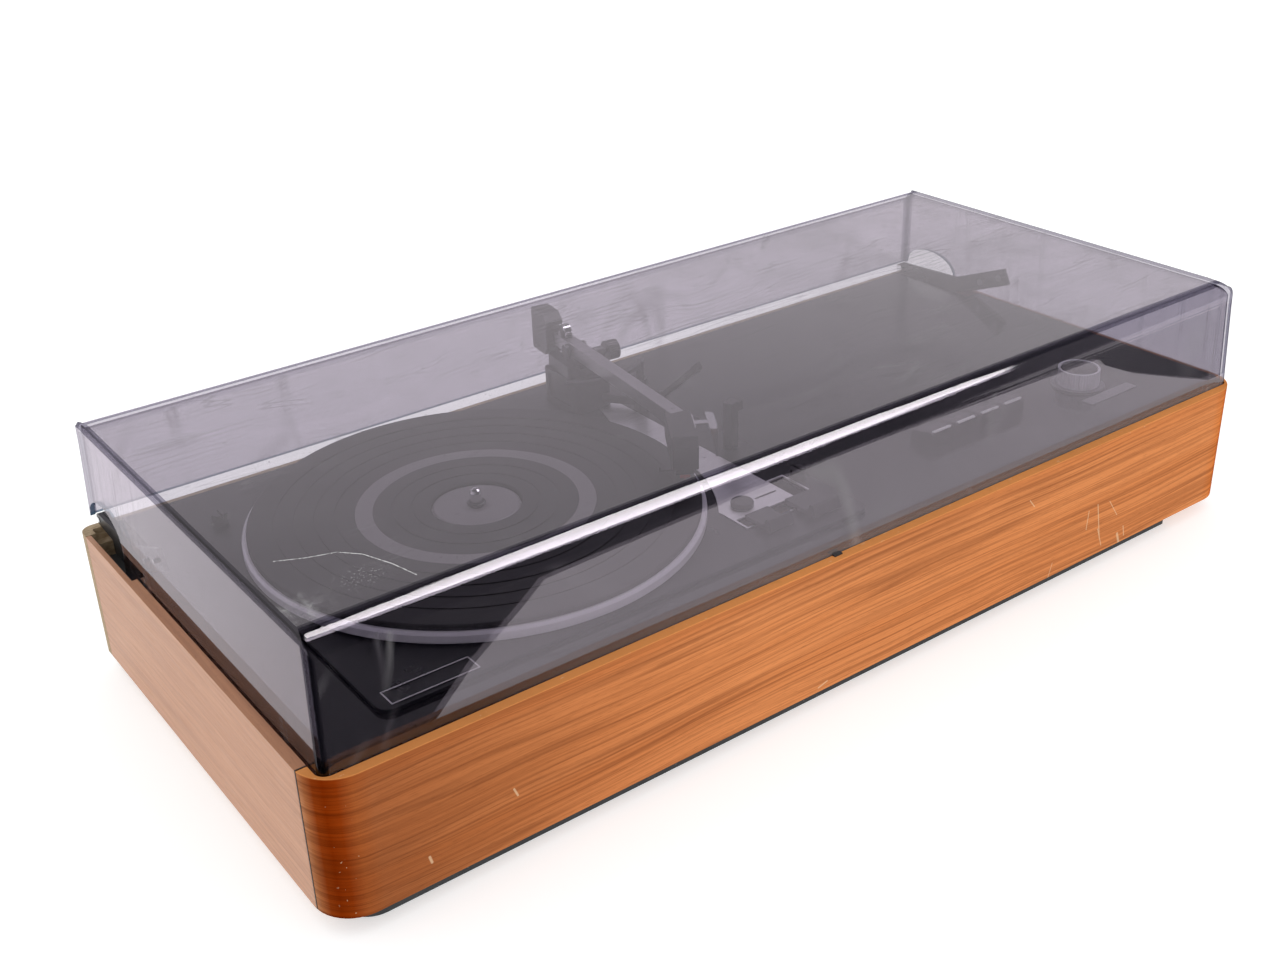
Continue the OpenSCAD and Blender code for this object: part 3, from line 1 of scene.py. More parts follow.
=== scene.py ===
"""Looks of the record player: veneer, smoked cover, black deck and controls, in the model's frame."""

import json
import math

import bmesh
import bpy
from mathutils import Matrix, Vector


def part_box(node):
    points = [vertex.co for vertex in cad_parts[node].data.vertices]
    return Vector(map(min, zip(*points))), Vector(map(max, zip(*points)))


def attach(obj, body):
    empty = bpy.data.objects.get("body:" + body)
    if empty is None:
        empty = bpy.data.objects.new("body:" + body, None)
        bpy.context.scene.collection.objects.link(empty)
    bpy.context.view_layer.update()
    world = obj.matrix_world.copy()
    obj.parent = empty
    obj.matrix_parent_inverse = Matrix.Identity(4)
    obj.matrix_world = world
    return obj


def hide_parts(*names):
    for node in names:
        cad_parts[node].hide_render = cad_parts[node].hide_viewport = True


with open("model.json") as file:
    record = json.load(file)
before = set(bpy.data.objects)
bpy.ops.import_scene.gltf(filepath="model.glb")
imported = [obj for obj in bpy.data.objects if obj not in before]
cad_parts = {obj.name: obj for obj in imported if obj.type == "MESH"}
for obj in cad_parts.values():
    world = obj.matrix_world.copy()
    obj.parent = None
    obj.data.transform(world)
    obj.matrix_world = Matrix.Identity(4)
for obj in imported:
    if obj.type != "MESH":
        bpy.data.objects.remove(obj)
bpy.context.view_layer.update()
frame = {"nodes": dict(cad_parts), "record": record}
NODES = frame["nodes"]
MM = 0.001
HALF_LENGTH = 365.0
HALF_DEPTH = 164.0
BASE_HEIGHT = 12.0
COLLECTION = bpy.context.scene.collection


def place(x, y, z):
    """A point given in millimetres from the cabinet's front left lower corner, in the row frame."""
    return Vector(((x - HALF_LENGTH) * MM, (y - HALF_DEPTH) * MM, (z + BASE_HEIGHT) * MM))


# Node helpers

class Shader:
    """One material and short names for building its nodes."""

    def __init__(self, name):
        self.mat = bpy.data.materials.new(name)
        self.mat.use_nodes = True
        self.tree = self.mat.node_tree
        self.tree.nodes.clear()
        self.out = self.node("ShaderNodeOutputMaterial")
        self.coords = self.node("ShaderNodeTexCoord").outputs["Object"]

    def node(self, kind, **props):
        made = self.tree.nodes.new(kind)
        for key, value in props.items():
            setattr(made, key, value)
        return made

    def feed(self, socket, value):
        """Links a socket, or sets a plain number, colour or vector."""
        if isinstance(value, bpy.types.NodeSocket):
            self.tree.links.new(value, socket)
        elif isinstance(value, (int, float)):
            socket.default_value = value
        else:
            value = tuple(value)
            size = len(socket.default_value)
            socket.default_value = value + (1.0,) * (size - len(value))

    def math(self, operation, a, b=0.0, clamp=False):
        made = self.node("ShaderNodeMath", operation=operation, use_clamp=clamp)
        self.feed(made.inputs[0], a)
        self.feed(made.inputs[1], b)
        return made.outputs[0]

    def times(self, a, b):
        return self.math("MULTIPLY", a, b)

    def plus(self, a, b):
        return self.math("ADD", a, b)

    def vector(self, operation, a, b=(0, 0, 0)):
        made = self.node("ShaderNodeVectorMath", operation=operation)
        self.feed(made.inputs[0], a)
        self.feed(made.inputs[1], b)
        index = 1 if operation in ("LENGTH", "DISTANCE", "DOT_PRODUCT") else 0
        return made.outputs[index]

    def stretch(self, scale, shift=(0, 0, 0), turn=(0, 0, 0)):
        made = self.node("ShaderNodeMapping")
        self.feed(made.inputs["Vector"], self.coords)
        self.feed(made.inputs["Location"], shift)
        self.feed(made.inputs["Rotation"], turn)
        self.feed(made.inputs["Scale"], scale)
        return made.outputs[0]

    def noise(self, where, detail, rough):
        made = self.node("ShaderNodeTexNoise")
        self.feed(made.inputs["Vector"], where)
        self.feed(made.inputs["Scale"], 1.0)
        self.feed(made.inputs["Detail"], detail)
        self.feed(made.inputs["Roughness"], rough)
        self.feed(made.inputs["Distortion"], 0.0)
        return made.outputs[0]

    def ramp(self, value, *stops):
        """Maps a number through stops of (place, grey or colour)."""
        made = self.node("ShaderNodeValToRGB")
        self.feed(made.inputs[0], value)
        marks = made.color_ramp.elements
        while len(marks) < len(stops):
            marks.new(0.5)
        for mark, (at, shade) in zip(marks, stops):
            mark.position = at
            grey = isinstance(shade, (int, float))
            mark.color = (shade, shade, shade, 1) if grey else (*shade, 1)
        return made.outputs[0]

    def span(self, value, low, high, start=0.0, end=1.0):
        """Maps a number from low..high to start..end and holds it there."""
        made = self.node("ShaderNodeMapRange", clamp=True)
        for socket, number in zip(made.inputs, (value, low, high, start, end)):
            self.feed(socket, number)
        return made.outputs[0]

    def mix(self, share, a, b, blend="MIX"):
        """Mixes two colours."""
        made = self.node("ShaderNodeMix", data_type="RGBA", blend_type=blend)
        self.feed(made.inputs[0], share)
        self.feed(made.inputs[6], a)
        self.feed(made.inputs[7], b)
        return made.outputs[2]

    def blend(self, share, a, b):
        """Mixes two surface shaders."""
        made = self.node("ShaderNodeMixShader")
        for socket, value in zip(made.inputs, (share, a, b)):
            self.feed(socket, value)
        return made.outputs[0]

    def axes(self, source=None):
        made = self.node("ShaderNodeSeparateXYZ")
        self.feed(made.inputs[0], source or self.coords)
        return made.outputs

    def join(self, x, y, z):
        made = self.node("ShaderNodeCombineXYZ")
        for socket, value in zip(made.inputs, (x, y, z)):
            self.feed(socket, value)
        return made.outputs[0]

    def bump(self, height, strength, distance):
        made = self.node("ShaderNodeBump")
        self.feed(made.inputs["Height"], height)
        self.feed(made.inputs["Strength"], strength)
        self.feed(made.inputs["Distance"], distance)
        return made.outputs[0]

    def segment(self, start, end, width, softness=0.6):
        """1 on a thin line between two points and 0 away from it."""
        start, end = Vector(start), Vector(end)
        along = end - start
        length = along.length
        offset = self.vector("SUBTRACT", self.coords, start)
        travel = self.vector("DOT_PRODUCT", offset, along / length)
        travel = self.math("MINIMUM", self.math("MAXIMUM", travel, 0.0), length)
        foot = self.node("ShaderNodeVectorMath", operation="SCALE")
        self.feed(foot.inputs[0], along / length)
        self.feed(foot.inputs["Scale"], travel)
        gap = self.vector("DISTANCE", offset, foot.outputs[0])
        return self.span(gap, width * (1 - softness), width, 1.0, 0.0)

    def spot(self, centre, size, softness=0.7):
        """1 inside an ellipsoid and 0 away from it."""
        offset = self.vector("SUBTRACT", self.coords, centre)
        scaled = self.vector("DIVIDE", offset, size)
        return self.span(self.vector("LENGTH", scaled), 1 - softness, 1.0, 1.0, 0.0)

    def contour(self, where, width, detail=1.0):
        """Thin curved lines where a noise passes its middle."""
        value = self.noise(where, detail, 0.5)
        away = self.math("ABSOLUTE", self.math("SUBTRACT", value, 0.5))
        return self.span(away, 0.0, width, 1.0, 0.0)

    def largest(self, values):
        top = values[0]
        for value in values[1:]:
            top = self.math("MAXIMUM", top, value)
        return top

    def principled(self, **values):
        """Principled surface. An underscore in a name stands for a space in the socket's name."""
        made = self.node("ShaderNodeBsdfPrincipled")
        for key, value in values.items():
            self.feed(made.inputs[key.replace("_", " ")], value)
        return made.outputs[0]

    def surface(self, shader):
        self.tree.links.new(shader, self.out.inputs["Surface"])
        return self.mat


# Wood

CORNER_X = 0.341
CORNER_Y = -0.140
CORNER_R = 0.024
FRONT_Y = -0.164
# The seam between a side's veneer and the front board
SEAM_FRONT_Y = -0.1430
SEAM_BACK_Y = -0.1424
# The front board's upper edge, where a painted highlight runs along it, and its left corner's place along
# the grain
RIM_HIGHLIGHT_Z = (0.0982, 0.0992)
RIM_WEAR_Z = (0.0970, 0.0985)
LEFT_CORNER = 0.352

# Dents in the front as ((x, z) of one end, (x, z) of the other, width)
TEAK_MARKS = [
    ((0.213, 0.052), (0.219, 0.024), 0.0006),
    ((0.204, 0.050), (0.203, 0.036), 0.0005),
    ((0.216, 0.032), (0.222, 0.017), 0.0005),
    ((0.226, 0.050), (0.236, 0.036), 0.0004),
    ((0.239, 0.020), (0.242, 0.012), 0.0014),
    ((0.245, 0.024), (0.247, 0.016), 0.0006),
    ((0.170, 0.022), (0.167, 0.012), 0.0004),
    ((0.140, 0.080), (0.145, 0.074), 0.0005),
    ((-0.043, 0.015), (-0.036, 0.017), 0.0007),
    ((-0.258, 0.047), (-0.256, 0.042), 0.0008),
    ((-0.310, 0.030), (-0.309, 0.026), 0.0010),
]

# Painted shade that darkens the front's left end, and painted shade and glare on the veneer round a
# corner: dark at the bend, pale and bluish where it turns onto the side
LEFT_SHADE_SPAN = (-0.345, -0.090)
LEFT_END_SHADE = [(0.0, (0.50, 0.42, 0.40)), (0.25, (0.64, 0.58, 0.56)), (0.60, (0.86, 0.82, 0.80)), (1.0, 1.0)]
CORNER_LIGHT_SPAN = (0.336, 0.379)
CORNER_SHADE_AND_GLARE = [
    (0.0, 1.0),
    (0.22, (1.0, 0.86, 0.66)),
    (0.40, (0.70, 0.34, 0.10)),
    (0.55, (0.56, 0.22, 0.03)),
    (0.68, (0.66, 0.36, 0.14)),
    (0.80, (1.0, 1.1, 1.2)),
    (0.90, (1.3, 1.9, 2.8)),
]


def veneer(name, pale, mid, dark, run, marks=(), specular=0.0, painted_light=False):
    """Oiled veneer with long thin dark streaks. run is the grain's way: 0 along X, 1 along Y."""
    s = Shader(name)
    x, y, z = s.axes()
    if run == 0:
        # The grain runs round the corners, so its place there is the way round them
        past = s.math("SUBTRACT", s.math("ABSOLUTE", x), CORNER_X)
        ahead = s.math("SUBTRACT", CORNER_Y, y)
        turn = s.math("ARCTAN2", s.math("MAXIMUM", past, 0.0), s.math("MAXIMUM", ahead, 0.0001))
        straight = s.math("MINIMUM", s.math("ABSOLUTE", x), CORNER_X)
        along = s.times(s.plus(straight, s.times(turn, CORNER_R)), s.math("SIGN", x))
        depth = 0.0
    else:
        along = y
        depth = s.times(x, 0.6)
    sway = s.noise(s.join(s.times(along, 4.5), 2.3, s.times(z, 9.0)), 2.0, 0.45)
    level = s.plus(z, s.times(s.math("SUBTRACT", sway, 0.5), 0.013))
    level = s.plus(level, depth)

    def grain(slow, other, quick):
        """A place in the wood, slow along the grain and quick across it."""
        return s.join(s.times(along, slow), other, s.times(level, quick))

    streaks = s.contour(grain(1.9, 5.1, 112.0), 0.040, 1.2)
    second = s.contour(grain(2.6, 8.2, 190.0), 0.040, 1.2)
    thin = s.contour(grain(3.4, 6.6, 300.0), 0.10, 1.5)
    strength = s.noise(grain(6.0, 3.3, 60.0), 2.0, 0.5)
    bands = s.noise(grain(1.9, 1.7, 60.0), 2.5, 0.5)
    fibre = s.noise(grain(30.0, s.times(y, 30.0), 1300.0), 3.0, 0.6)
    pores = s.noise(grain(130.0, s.times(y, 130.0), 2600.0), 1.0, 0.5)
    cloud = s.noise(s.join(s.times(along, 9.0), 4.4, s.times(z, 30.0)), 3.0, 0.5)
    colour = s.mix(s.span(bands, 0.36, 0.64), mid, pale)
    darkened = [
        s.times(s.span(fibre, 0.42, 0.70), 0.25),
        s.times(thin, s.span(strength, 0.35, 0.75, 0.20, 0.50)),
        s.times(second, s.span(strength, 0.35, 0.65, 0.42, 0.18)),
        s.times(streaks, s.span(strength, 0.30, 0.65, 0.30, 0.62)),
        s.span(cloud, 0.58, 0.85, 0.0, 0.30),
    ]
    for share in darkened:
        colour = s.mix(share, colour, dark)
    colour = s.mix(s.times(s.span(pores, 0.60, 0.75), 0.30), colour, [c * 0.5 for c in dark])
    if painted_light:
        # Painted shade at the front's left end, and painted shade and glare round the corners
        left_end_shade = s.ramp(s.span(along, *LEFT_SHADE_SPAN), *LEFT_END_SHADE)
        bend = s.ramp(s.span(s.math("ABSOLUTE", along), *CORNER_LIGHT_SPAN), *CORNER_SHADE_AND_GLARE)
        colour = s.mix(1.0, colour, left_end_shade, "MULTIPLY")
        colour = s.mix(1.0, colour, bend, "MULTIPLY")
        # Painted highlight along the front board's upper edge
        colour = s.mix(s.times(s.span(z, *RIM_HIGHLIGHT_Z), 0.70), colour, (0.95, 0.400, 0.120))
    if run == 1:
        seam = s.span(y, SEAM_FRONT_Y, SEAM_BACK_Y, 0.95, 0.0)
        colour = s.mix(seam, colour, (0.010, 0.006, 0.004))
    if marks:
        dents = []
        for a, b, width in marks:
            dents.append(s.segment((a[0], FRONT_Y, a[1]), (b[0], FRONT_Y, b[1]), width))
        nick = s.noise(s.stretch((170, 400, 400)), 2.0, 0.6)
        edge = s.times(s.span(nick, 0.70, 0.76), s.span(z, *RIM_WEAR_Z))
        corner = s.span(s.math("ABSOLUTE", s.plus(along, LEFT_CORNER)), 0.003, 0.010, 1.0, 0.0)
        crumbs = s.noise(s.stretch((500, 500, 420)), 1.0, 0.5)
        fleck = s.times(s.span(crumbs, 0.74, 0.77), corner)
        worn = s.largest([s.times(s.largest(dents), 0.55), s.times(edge, 0.45), s.times(fleck, 0.45)])
        colour = s.mix(worn, colour, (0.80, 0.58, 0.36))
    height = s.plus(s.times(pores, -0.6), s.times(fibre, -0.4))
    return s.surface(s.principled(Base_Color=colour, Roughness=s.span(fibre, 0.3, 0.7, 0.34, 0.46),
                                  Normal=s.bump(height, 0.22, 0.0001), Specular_IOR_Level=specular))


def board(name, pale, dark):
    """Raw particle board or softwood."""
    s = Shader(name)
    flecks = s.noise(s.stretch((260, 700, 700)), 4.0, 0.6)
    broad = s.noise(s.stretch((30, 60, 60)), 2.0, 0.5)
    colour = s.mix(s.ramp(flecks, (0.35, 0.0), (0.65, 1.0)), dark, pale)
    colour = s.mix(s.ramp(broad, (0.4, 0.0), (0.7, 0.4)), colour, dark)
    relief = s.bump(flecks, 0.35, 0.0003)
    return s.surface(s.principled(Base_Color=colour, Roughness=0.75, Normal=relief))


# Plastic, enamel and metal

def moulded(name, colour, rough=0.5, grain=1800.0, depth=0.15, dust=0.15):
    """Dark or pale plastic and enamel with a fine grain and a little dust."""
    s = Shader(name)
    fine = s.noise(s.stretch((grain, grain, grain)), 2.0, 0.6)
    broad = s.noise(s.stretch((45, 45, 45)), 4.0, 0.6)
    specks = s.noise(s.stretch((600, 600, 600)), 1.0, 0.4)
    film = s.times(s.ramp(broad, (0.42, 0.0), (0.75, 1.0)), dust)
    shade = s.mix(film, colour, [min(1.0, c * 0.7 + 0.13) for c in colour])
    dusty = s.times(s.ramp(specks, (0.72, 0.0), (0.78, 1.0)), dust)
    shade = s.mix(dusty, shade, (0.5, 0.5, 0.48))
    gloss = s.math("ADD", rough, s.times(s.math("SUBTRACT", broad, 0.5), 0.16), clamp=True)
    relief = s.bump(fine, depth, 0.00005)
    return s.surface(s.principled(Base_Color=shade, Roughness=gloss, Normal=relief))


def turned_lines(s, around):
    """Fine rings round the centre of a turned piece."""
    x, y, z = s.axes(s.vector("SUBTRACT", s.coords, around))
    reach = s.math("SQRT", s.plus(s.times(x, x), s.times(y, y)))
    return s.noise(s.join(s.times(reach, 2200.0), s.times(z, 2200.0), 0.0), 2.0, 0.6)


def metal(name, colour, rough=0.3, run=(900, 30, 900), around=None):
    """Brushed or turned metal. around is the centre of a turned face's rings."""
    s = Shader(name)
    if around is None:
        lines = s.noise(s.stretch(run), 3.0, 0.6)
    else:
        lines = turned_lines(s, around)
    smear = s.noise(s.stretch((50, 50, 50)), 3.0, 0.6)
    shade = s.mix(s.ramp(lines, (0.3, 0.0), (0.7, 1.0)), [c * 0.82 for c in colour], colour)
    shade = s.mix(s.ramp(smear, (0.5, 0.0), (0.8, 0.35)), shade, [c * 0.7 for c in colour])
    gloss = s.math("ADD", rough, s.times(s.math("SUBTRACT", lines, 0.5), 0.2), clamp=True)
    relief = s.bump(lines, 0.12, 0.00004)
    return s.surface(s.principled(Base_Color=shade, Metallic=1.0, Roughness=gloss, Normal=relief))


def platter_metal(name, around):
    """Turned light alloy with a soft gloss, which stays pale where it mirrors dark things."""
    s = Shader(name)
    lines = turned_lines(s, around)
    shade = s.mix(s.span(lines, 0.3, 0.7), (0.74, 0.73, 0.76), (0.90, 0.89, 0.93))
    relief = s.bump(lines, 0.1, 0.00003)
    return s.surface(s.principled(Base_Color=shade, Metallic=0.30, Roughness=0.40, Normal=relief))


KNOB_SKIRT_Z = (0.10455, 0.1048)


def knob_metal(name):
    """Bright turned knob on a dark skirt."""
    s = Shader(name)
    z = s.axes()[2]
    skirt = s.span(z, *KNOB_SKIRT_Z, 1.0, 0.0)
    lines = s.noise(s.stretch((900, 900, 60)), 2.0, 0.5)
    bright = s.mix(s.span(lines, 0.3, 0.7), (0.70, 0.70, 0.74), (0.97, 0.97, 1.0))
    shade = s.mix(skirt, bright, (0.05, 0.05, 0.055))
    return s.surface(s.principled(Base_Color=shade, Metallic=0.35, Roughness=0.30))


# Smoked cover

# A bent scratch in the cover's top, as (x, y) points
SCRATCH = [
    (-0.334, -0.077), (-0.320, -0.084), (-0.305, -0.089),
    (-0.296, -0.099), (-0.289, -0.117), (-0.285, -0.134),
]
SCRATCH_WIDTH = 0.00045
TOP_Z = 0.173
# The film is thick on the top and thin on the walls below it
TOP_SPAN = (0.165, 0.172)
# Sets of hair scratches as (turn, how close together, shift)
HAIRS = [(0.35, 55.0, 0.0), (1.25, 48.0, 4.0), (-0.65, 60.0, 9.0), (2.35, 42.0, 15.0)]
FILM_GREY = (0.28, 0.27, 0.28)
FILM_PALE = (0.80, 0.80, 0.80)
# Grey of the painted reflection at the foot of the front wall
PAINTED_FLOOR_REFLECTION = (0.36, 0.31, 0.30)


def cover_wear(s, height):
    """Marks in the cover: how much film they add, and where they are pale."""
    hair = []
    for turn, across, shift in HAIRS:
        where = s.stretch((5.0, across, 1.0), (shift, shift, 0), (0, 0, turn))
        patch = s.noise(s.stretch((9.0, 9.0, 9.0), (shift, 3.0, shift)), 2.0, 0.5)
        hair.append(s.times(s.contour(where, 0.010), s.span(patch, 0.50, 0.68)))
    pieces = []
    for a, b in zip(SCRATCH, SCRATCH[1:]):
        pieces.append(s.segment((*a, TOP_Z), (*b, TOP_Z), SCRATCH_WIDTH))
    deep = s.largest(pieces)
    specks = s.span(s.noise(s.stretch((300, 300, 300)), 1.0, 0.4), 0.74, 0.77)
    spots = s.noise(s.stretch((700, 700, 700)), 1.0, 0.4)
    crowd = s.times(s.spot((-0.306, -0.117, TOP_Z), (0.022, 0.014, 0.010)), s.span(spots, 0.62, 0.66))
    grime = s.span(s.noise(s.stretch((160, 160, 160)), 4.0, 0.65), 0.42, 0.66)
    smudge = s.times(s.spot((-0.343, -0.126, TOP_Z), (0.022, 0.022, 0.010)), grime)
    worn = s.largest([
        s.times(s.largest(hair), 0.32),
        s.times(s.times(specks, 0.35), s.span(height, *TOP_SPAN)),
        s.times(deep, s.span(spots, 0.35, 0.55, 0.25, 0.85)),
        s.times(crowd, 0.8),
        s.times(smudge, 0.30),
    ])
    return worn, s.largest([deep, s.times(smudge, 0.8)])


def smoked(name, tint, film_share, marks=False, rough=0.012, mirror=(0.04, 0.96), drawn=False):
    """Smoked sheet seen as a thin wall: tinted, more of a mirror at a flat angle, with a worn film that
    also carries painted haze.
    """
    s = Shader(name)
    clear = s.node("ShaderNodeBsdfTransparent")
    s.feed(clear.inputs["Color"], tint)
    gloss = s.node("ShaderNodeBsdfGlossy")
    s.feed(gloss.inputs["Color"], (1.0, 0.93, 0.98))
    s.feed(gloss.inputs["Roughness"], rough)
    if drawn:
        # Faint lines along the bend break up what it mirrors
        lines = s.noise(s.stretch((4, 900, 900)), 2.0, 0.5)
        s.feed(gloss.inputs["Normal"], s.bump(lines, 0.10, 0.0003))
    angle = s.node("ShaderNodeLayerWeight")
    s.feed(angle.inputs["Blend"], 0.5)
    straight_on, flat_on = mirror
    share = s.plus(straight_on, s.times(s.math("POWER", angle.outputs["Facing"], 5.0), flat_on))
    shine = s.blend(share, clear.outputs[0], gloss.outputs[0])
    x, y, height = s.axes()
    cloud = s.noise(s.stretch((16, 16, 16)), 5.0, 0.62)
    amount = s.span(cloud, 0.38, 0.72, 0.3 * film_share, film_share)
    amount = s.times(amount, s.span(height, *TOP_SPAN, 0.10, 1.0))
    # Painted haze: towards the right end the film grows up to six times thicker, standing in for the pale
    # reflection there
    amount = s.times(amount, s.span(x, 0.0, 0.2, 1.0, 6.0))
    film_colour = FILM_GREY
    if marks:
        worn, bright = cover_wear(s, height)
        # Painted reflection of the pale floor at the foot of the front wall, stronger to the right
        low = s.span(height, 0.097, 0.107, 0.60, 0.0)
        low = s.times(low, s.span(y, -0.152, -0.150, 1.0, 0.0))
        low = s.times(low, s.span(x, -0.28, -0.05, 0.12, 1.0))
        amount = s.math("ADD", s.plus(amount, low), worn, clamp=True)
        film_colour = s.mix(bright, FILM_GREY, FILM_PALE)
        film_colour = s.mix(s.math("GREATER_THAN", low, 0.001), film_colour, PAINTED_FLOOR_REFLECTION)
    film = s.node("ShaderNodeBsdfDiffuse")
    s.feed(film.inputs["Color"], film_colour)
    return s.surface(s.blend(amount, shine, film.outputs[0]))


# Materials of the nodes

PALE, MID, DARK = (0.72, 0.270, 0.096), (0.65, 0.228, 0.076), (0.270, 0.088, 0.034)
SIDE_PALE, SIDE_MID, SIDE_DARK = (0.54, 0.255, 0.13), (0.50, 0.230, 0.115), (0.38, 0.165, 0.08)

centre = (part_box("spindle")[0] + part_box("spindle")[1]) / 2
MATERIALS = {
    "teak": veneer("teak", PALE, MID, DARK, 0, TEAK_MARKS, painted_light=True),
    "side_veneer": veneer("side_veneer", SIDE_PALE, SIDE_MID, SIDE_DARK, 1, specular=0.55),
    "board_wood": board("board_wood", (0.50, 0.38, 0.24), (0.33, 0.23, 0.13)),
    "black_base": moulded("black_base", (0.022, 0.027, 0.030), 0.6),
    "pad_rubber": moulded("pad_rubber", (0.03, 0.03, 0.034), 0.8),
    "deck_black": moulded("deck_black", (0.012, 0.011, 0.013), 0.14, 200.0, 0.0, 0.02),
    "hinge_dark": moulded("hinge_dark", (0.025, 0.025, 0.028), 0.4),
    "bright_metal": metal("bright_metal", (0.80, 0.80, 0.81), 0.18),
    "zinc_steel": metal("zinc_steel", (0.55, 0.55, 0.54), 0.38),
    "unit_enamel": moulded("unit_enamel", (0.011, 0.011, 0.014), 0.30, 300.0, 0.0, 0.02),
    "cast_alloy": metal("cast_alloy", (0.62, 0.62, 0.65), 0.26, around=centre),
    "mat_rubber": moulded("mat_rubber", (0.022, 0.021, 0.022), 0.62, 2400.0, 0.03, 0.06),
    "mat_grey": moulded("mat_grey", (0.25, 0.24, 0.245), 0.55, 2400.0, 0.1, 0.2),
    "brass_part": metal("brass_part", (0.72, 0.54, 0.28), 0.3),
    "control_alloy": metal("control_alloy", (0.84, 0.83, 0.84), 0.34, (30, 1200, 900)),
    "dark_plastic": moulded("dark_plastic", (0.026, 0.025, 0.027), 0.32, 2200.0, 0.12, 0.08),
    "arm_alloy": metal("arm_alloy", (0.42, 0.41, 0.42), 0.36, (900, 40, 900)),
    "stylus_red": moulded("stylus_red", (0.35, 0.04, 0.03), 0.35),
    "key_plastic": moulded("key_plastic", (0.012, 0.012, 0.014), 0.22, 2200.0, 0.03, 0.05),
    "switch_grey": moulded("switch_grey", (0.22, 0.22, 0.20), 0.6),
    "circuit_green": moulded("circuit_green", (0.10, 0.22, 0.09), 0.5),
    "iron_core": moulded("iron_core", (0.20, 0.16, 0.13), 0.6),
}

WALL = smoked("smoked_cover", (0.75, 0.730, 0.765), 0.045, marks=True)
FRONT = smoked("smoked_front", (0.80, 0.78, 0.815), 0.045, marks=True, mirror=(0.11, 0.89))
ROUND = smoked("smoked_round", (0.72, 0.70, 0.745), 0.0, rough=0.04, mirror=(0.05, 0.60), drawn=True)
# Darker tint at the cover's bends and corners: painted dark refraction, with some real darkening from the
# longer path through the bent sheet
BEND_SHADE = smoked("smoked_bend_shade", (0.32, 0.31, 0.37), 0.0, rough=0.08, mirror=(0.04, 0.25))
EDGE = smoked("smoked_edge", (0.20, 0.26, 0.32), 0.0, rough=0.08, mirror=(0.04, 0.3))


def dress(obj, material):
    obj.data.materials.clear()
    obj.data.materials.append(material)


for part in frame["record"]["subparts"]:
    if part["material_slot"] in MATERIALS:
        dress(NODES[part["node"]], MATERIALS[part["material_slot"]])

dress(NODES["platter"], platter_metal("platter_alloy", centre))
dress(NODES["volume_knob"], knob_metal("knob_alloy"))
dress(NODES["label_plate"], moulded("label_grey", (0.30, 0.295, 0.30), 0.35, 1500.0, 0.03, 0.1))
dress(NODES["hinge_brackets"], moulded("bracket_dark", (0.06, 0.06, 0.062), 0.5))


# Objects

def add(name, data):
    obj = bpy.data.objects.new(name, data)
    COLLECTION.objects.link(obj)
    return obj


def from_bmesh(name, bm, *materials, smooth=True):
    mesh = bpy.data.meshes.new(name)
    for material in materials:
        mesh.materials.append(material)
    bm.to_mesh(mesh)
    bm.free()
    for polygon in mesh.polygons:
        polygon.use_smooth = smooth
    return add(name, mesh)


# Cover shell, in millimetres from the cabinet's corner

COVER_NEAR = 7.0
COVER_FAR_X = 723.0
COVER_FAR_Y = 327.6
COVER_FOOT = 79.6
COVER_SILL = 96.0
COVER_TOP = 161.0
COVER_TOP_R = 11.0
COVER_TOP_WIDE = 15.0
COVER_SIDE_R = 4.0
COVER_LEAST_R = 0.3
COVER_ARC_Z = COVER_TOP - COVER_TOP_R
COVER_LEAN = 2.6
COVER_R = 4.5
COVER_BEND_Z = 145.0
COVER_BEND = math.radians(11)
COVER_WALL = 3.0
FIRST_COLUMN_Y = 26.0
NOTCH_Y = 296.0
NOTCH_HALF = 28.0
NOTCH_H = 16.6
NOTCH_STEPS = 24
# Two columns at one place would make faces without an area, and those spoil the normals
COLUMN_GAP = 0.4
ARC_STEPS = 12
WALL_ROWS = 2
LINE_ROWS = 2
TOP_ROW = WALL_ROWS + ARC_STEPS
QUARTER = math.pi / 2
ON_WALL, ON_ROUND, ON_EDGE, ON_LINE, ON_FRONT = range(5)


class Column:
    """A place on the cover, at a share of the way from corner a to corner b, facing its outward way."""

    def __init__(self, a, b, share, way, foot):
        self.a = a
        self.b = b
        self.share = share
        self.way = way
        self.foot = foot


def cover_foot(y):
    """Lower edge of a side wall at a distance from the front."""
    if y < NOTCH_Y - NOTCH_HALF:
        return COVER_FOOT
    share = min(1.0, abs(y - NOTCH_Y) / NOTCH_HALF)
    return COVER_SILL + NOTCH_H * math.sqrt(1 - share * share)


def side_columns(rear):
    """Shares and foot heights along a side wall, counted from its rear end if rear is set."""
    span_y = COVER_FAR_Y - COVER_NEAR - 2 * COVER_R
    first = NOTCH_Y - NOTCH_HALF
    stops = [
        (FIRST_COLUMN_Y, COVER_FOOT),
        (first * 0.5, COVER_FOOT),
        (first - COLUMN_GAP, COVER_FOOT),
        (first, COVER_SILL),
    ]
    for step in range(1, NOTCH_STEPS):
        y = NOTCH_Y - NOTCH_HALF * math.cos(math.pi * step / NOTCH_STEPS)
        if y < COVER_FAR_Y - COVER_R - 1:
            stops.append((y, cover_foot(y)))
    shares = [((y - COVER_NEAR - COVER_R) / span_y, foot) for y, foot in stops]
    if rear:
        shares = [(1 - share, foot) for share, foot in reversed(shares)]
    return shares


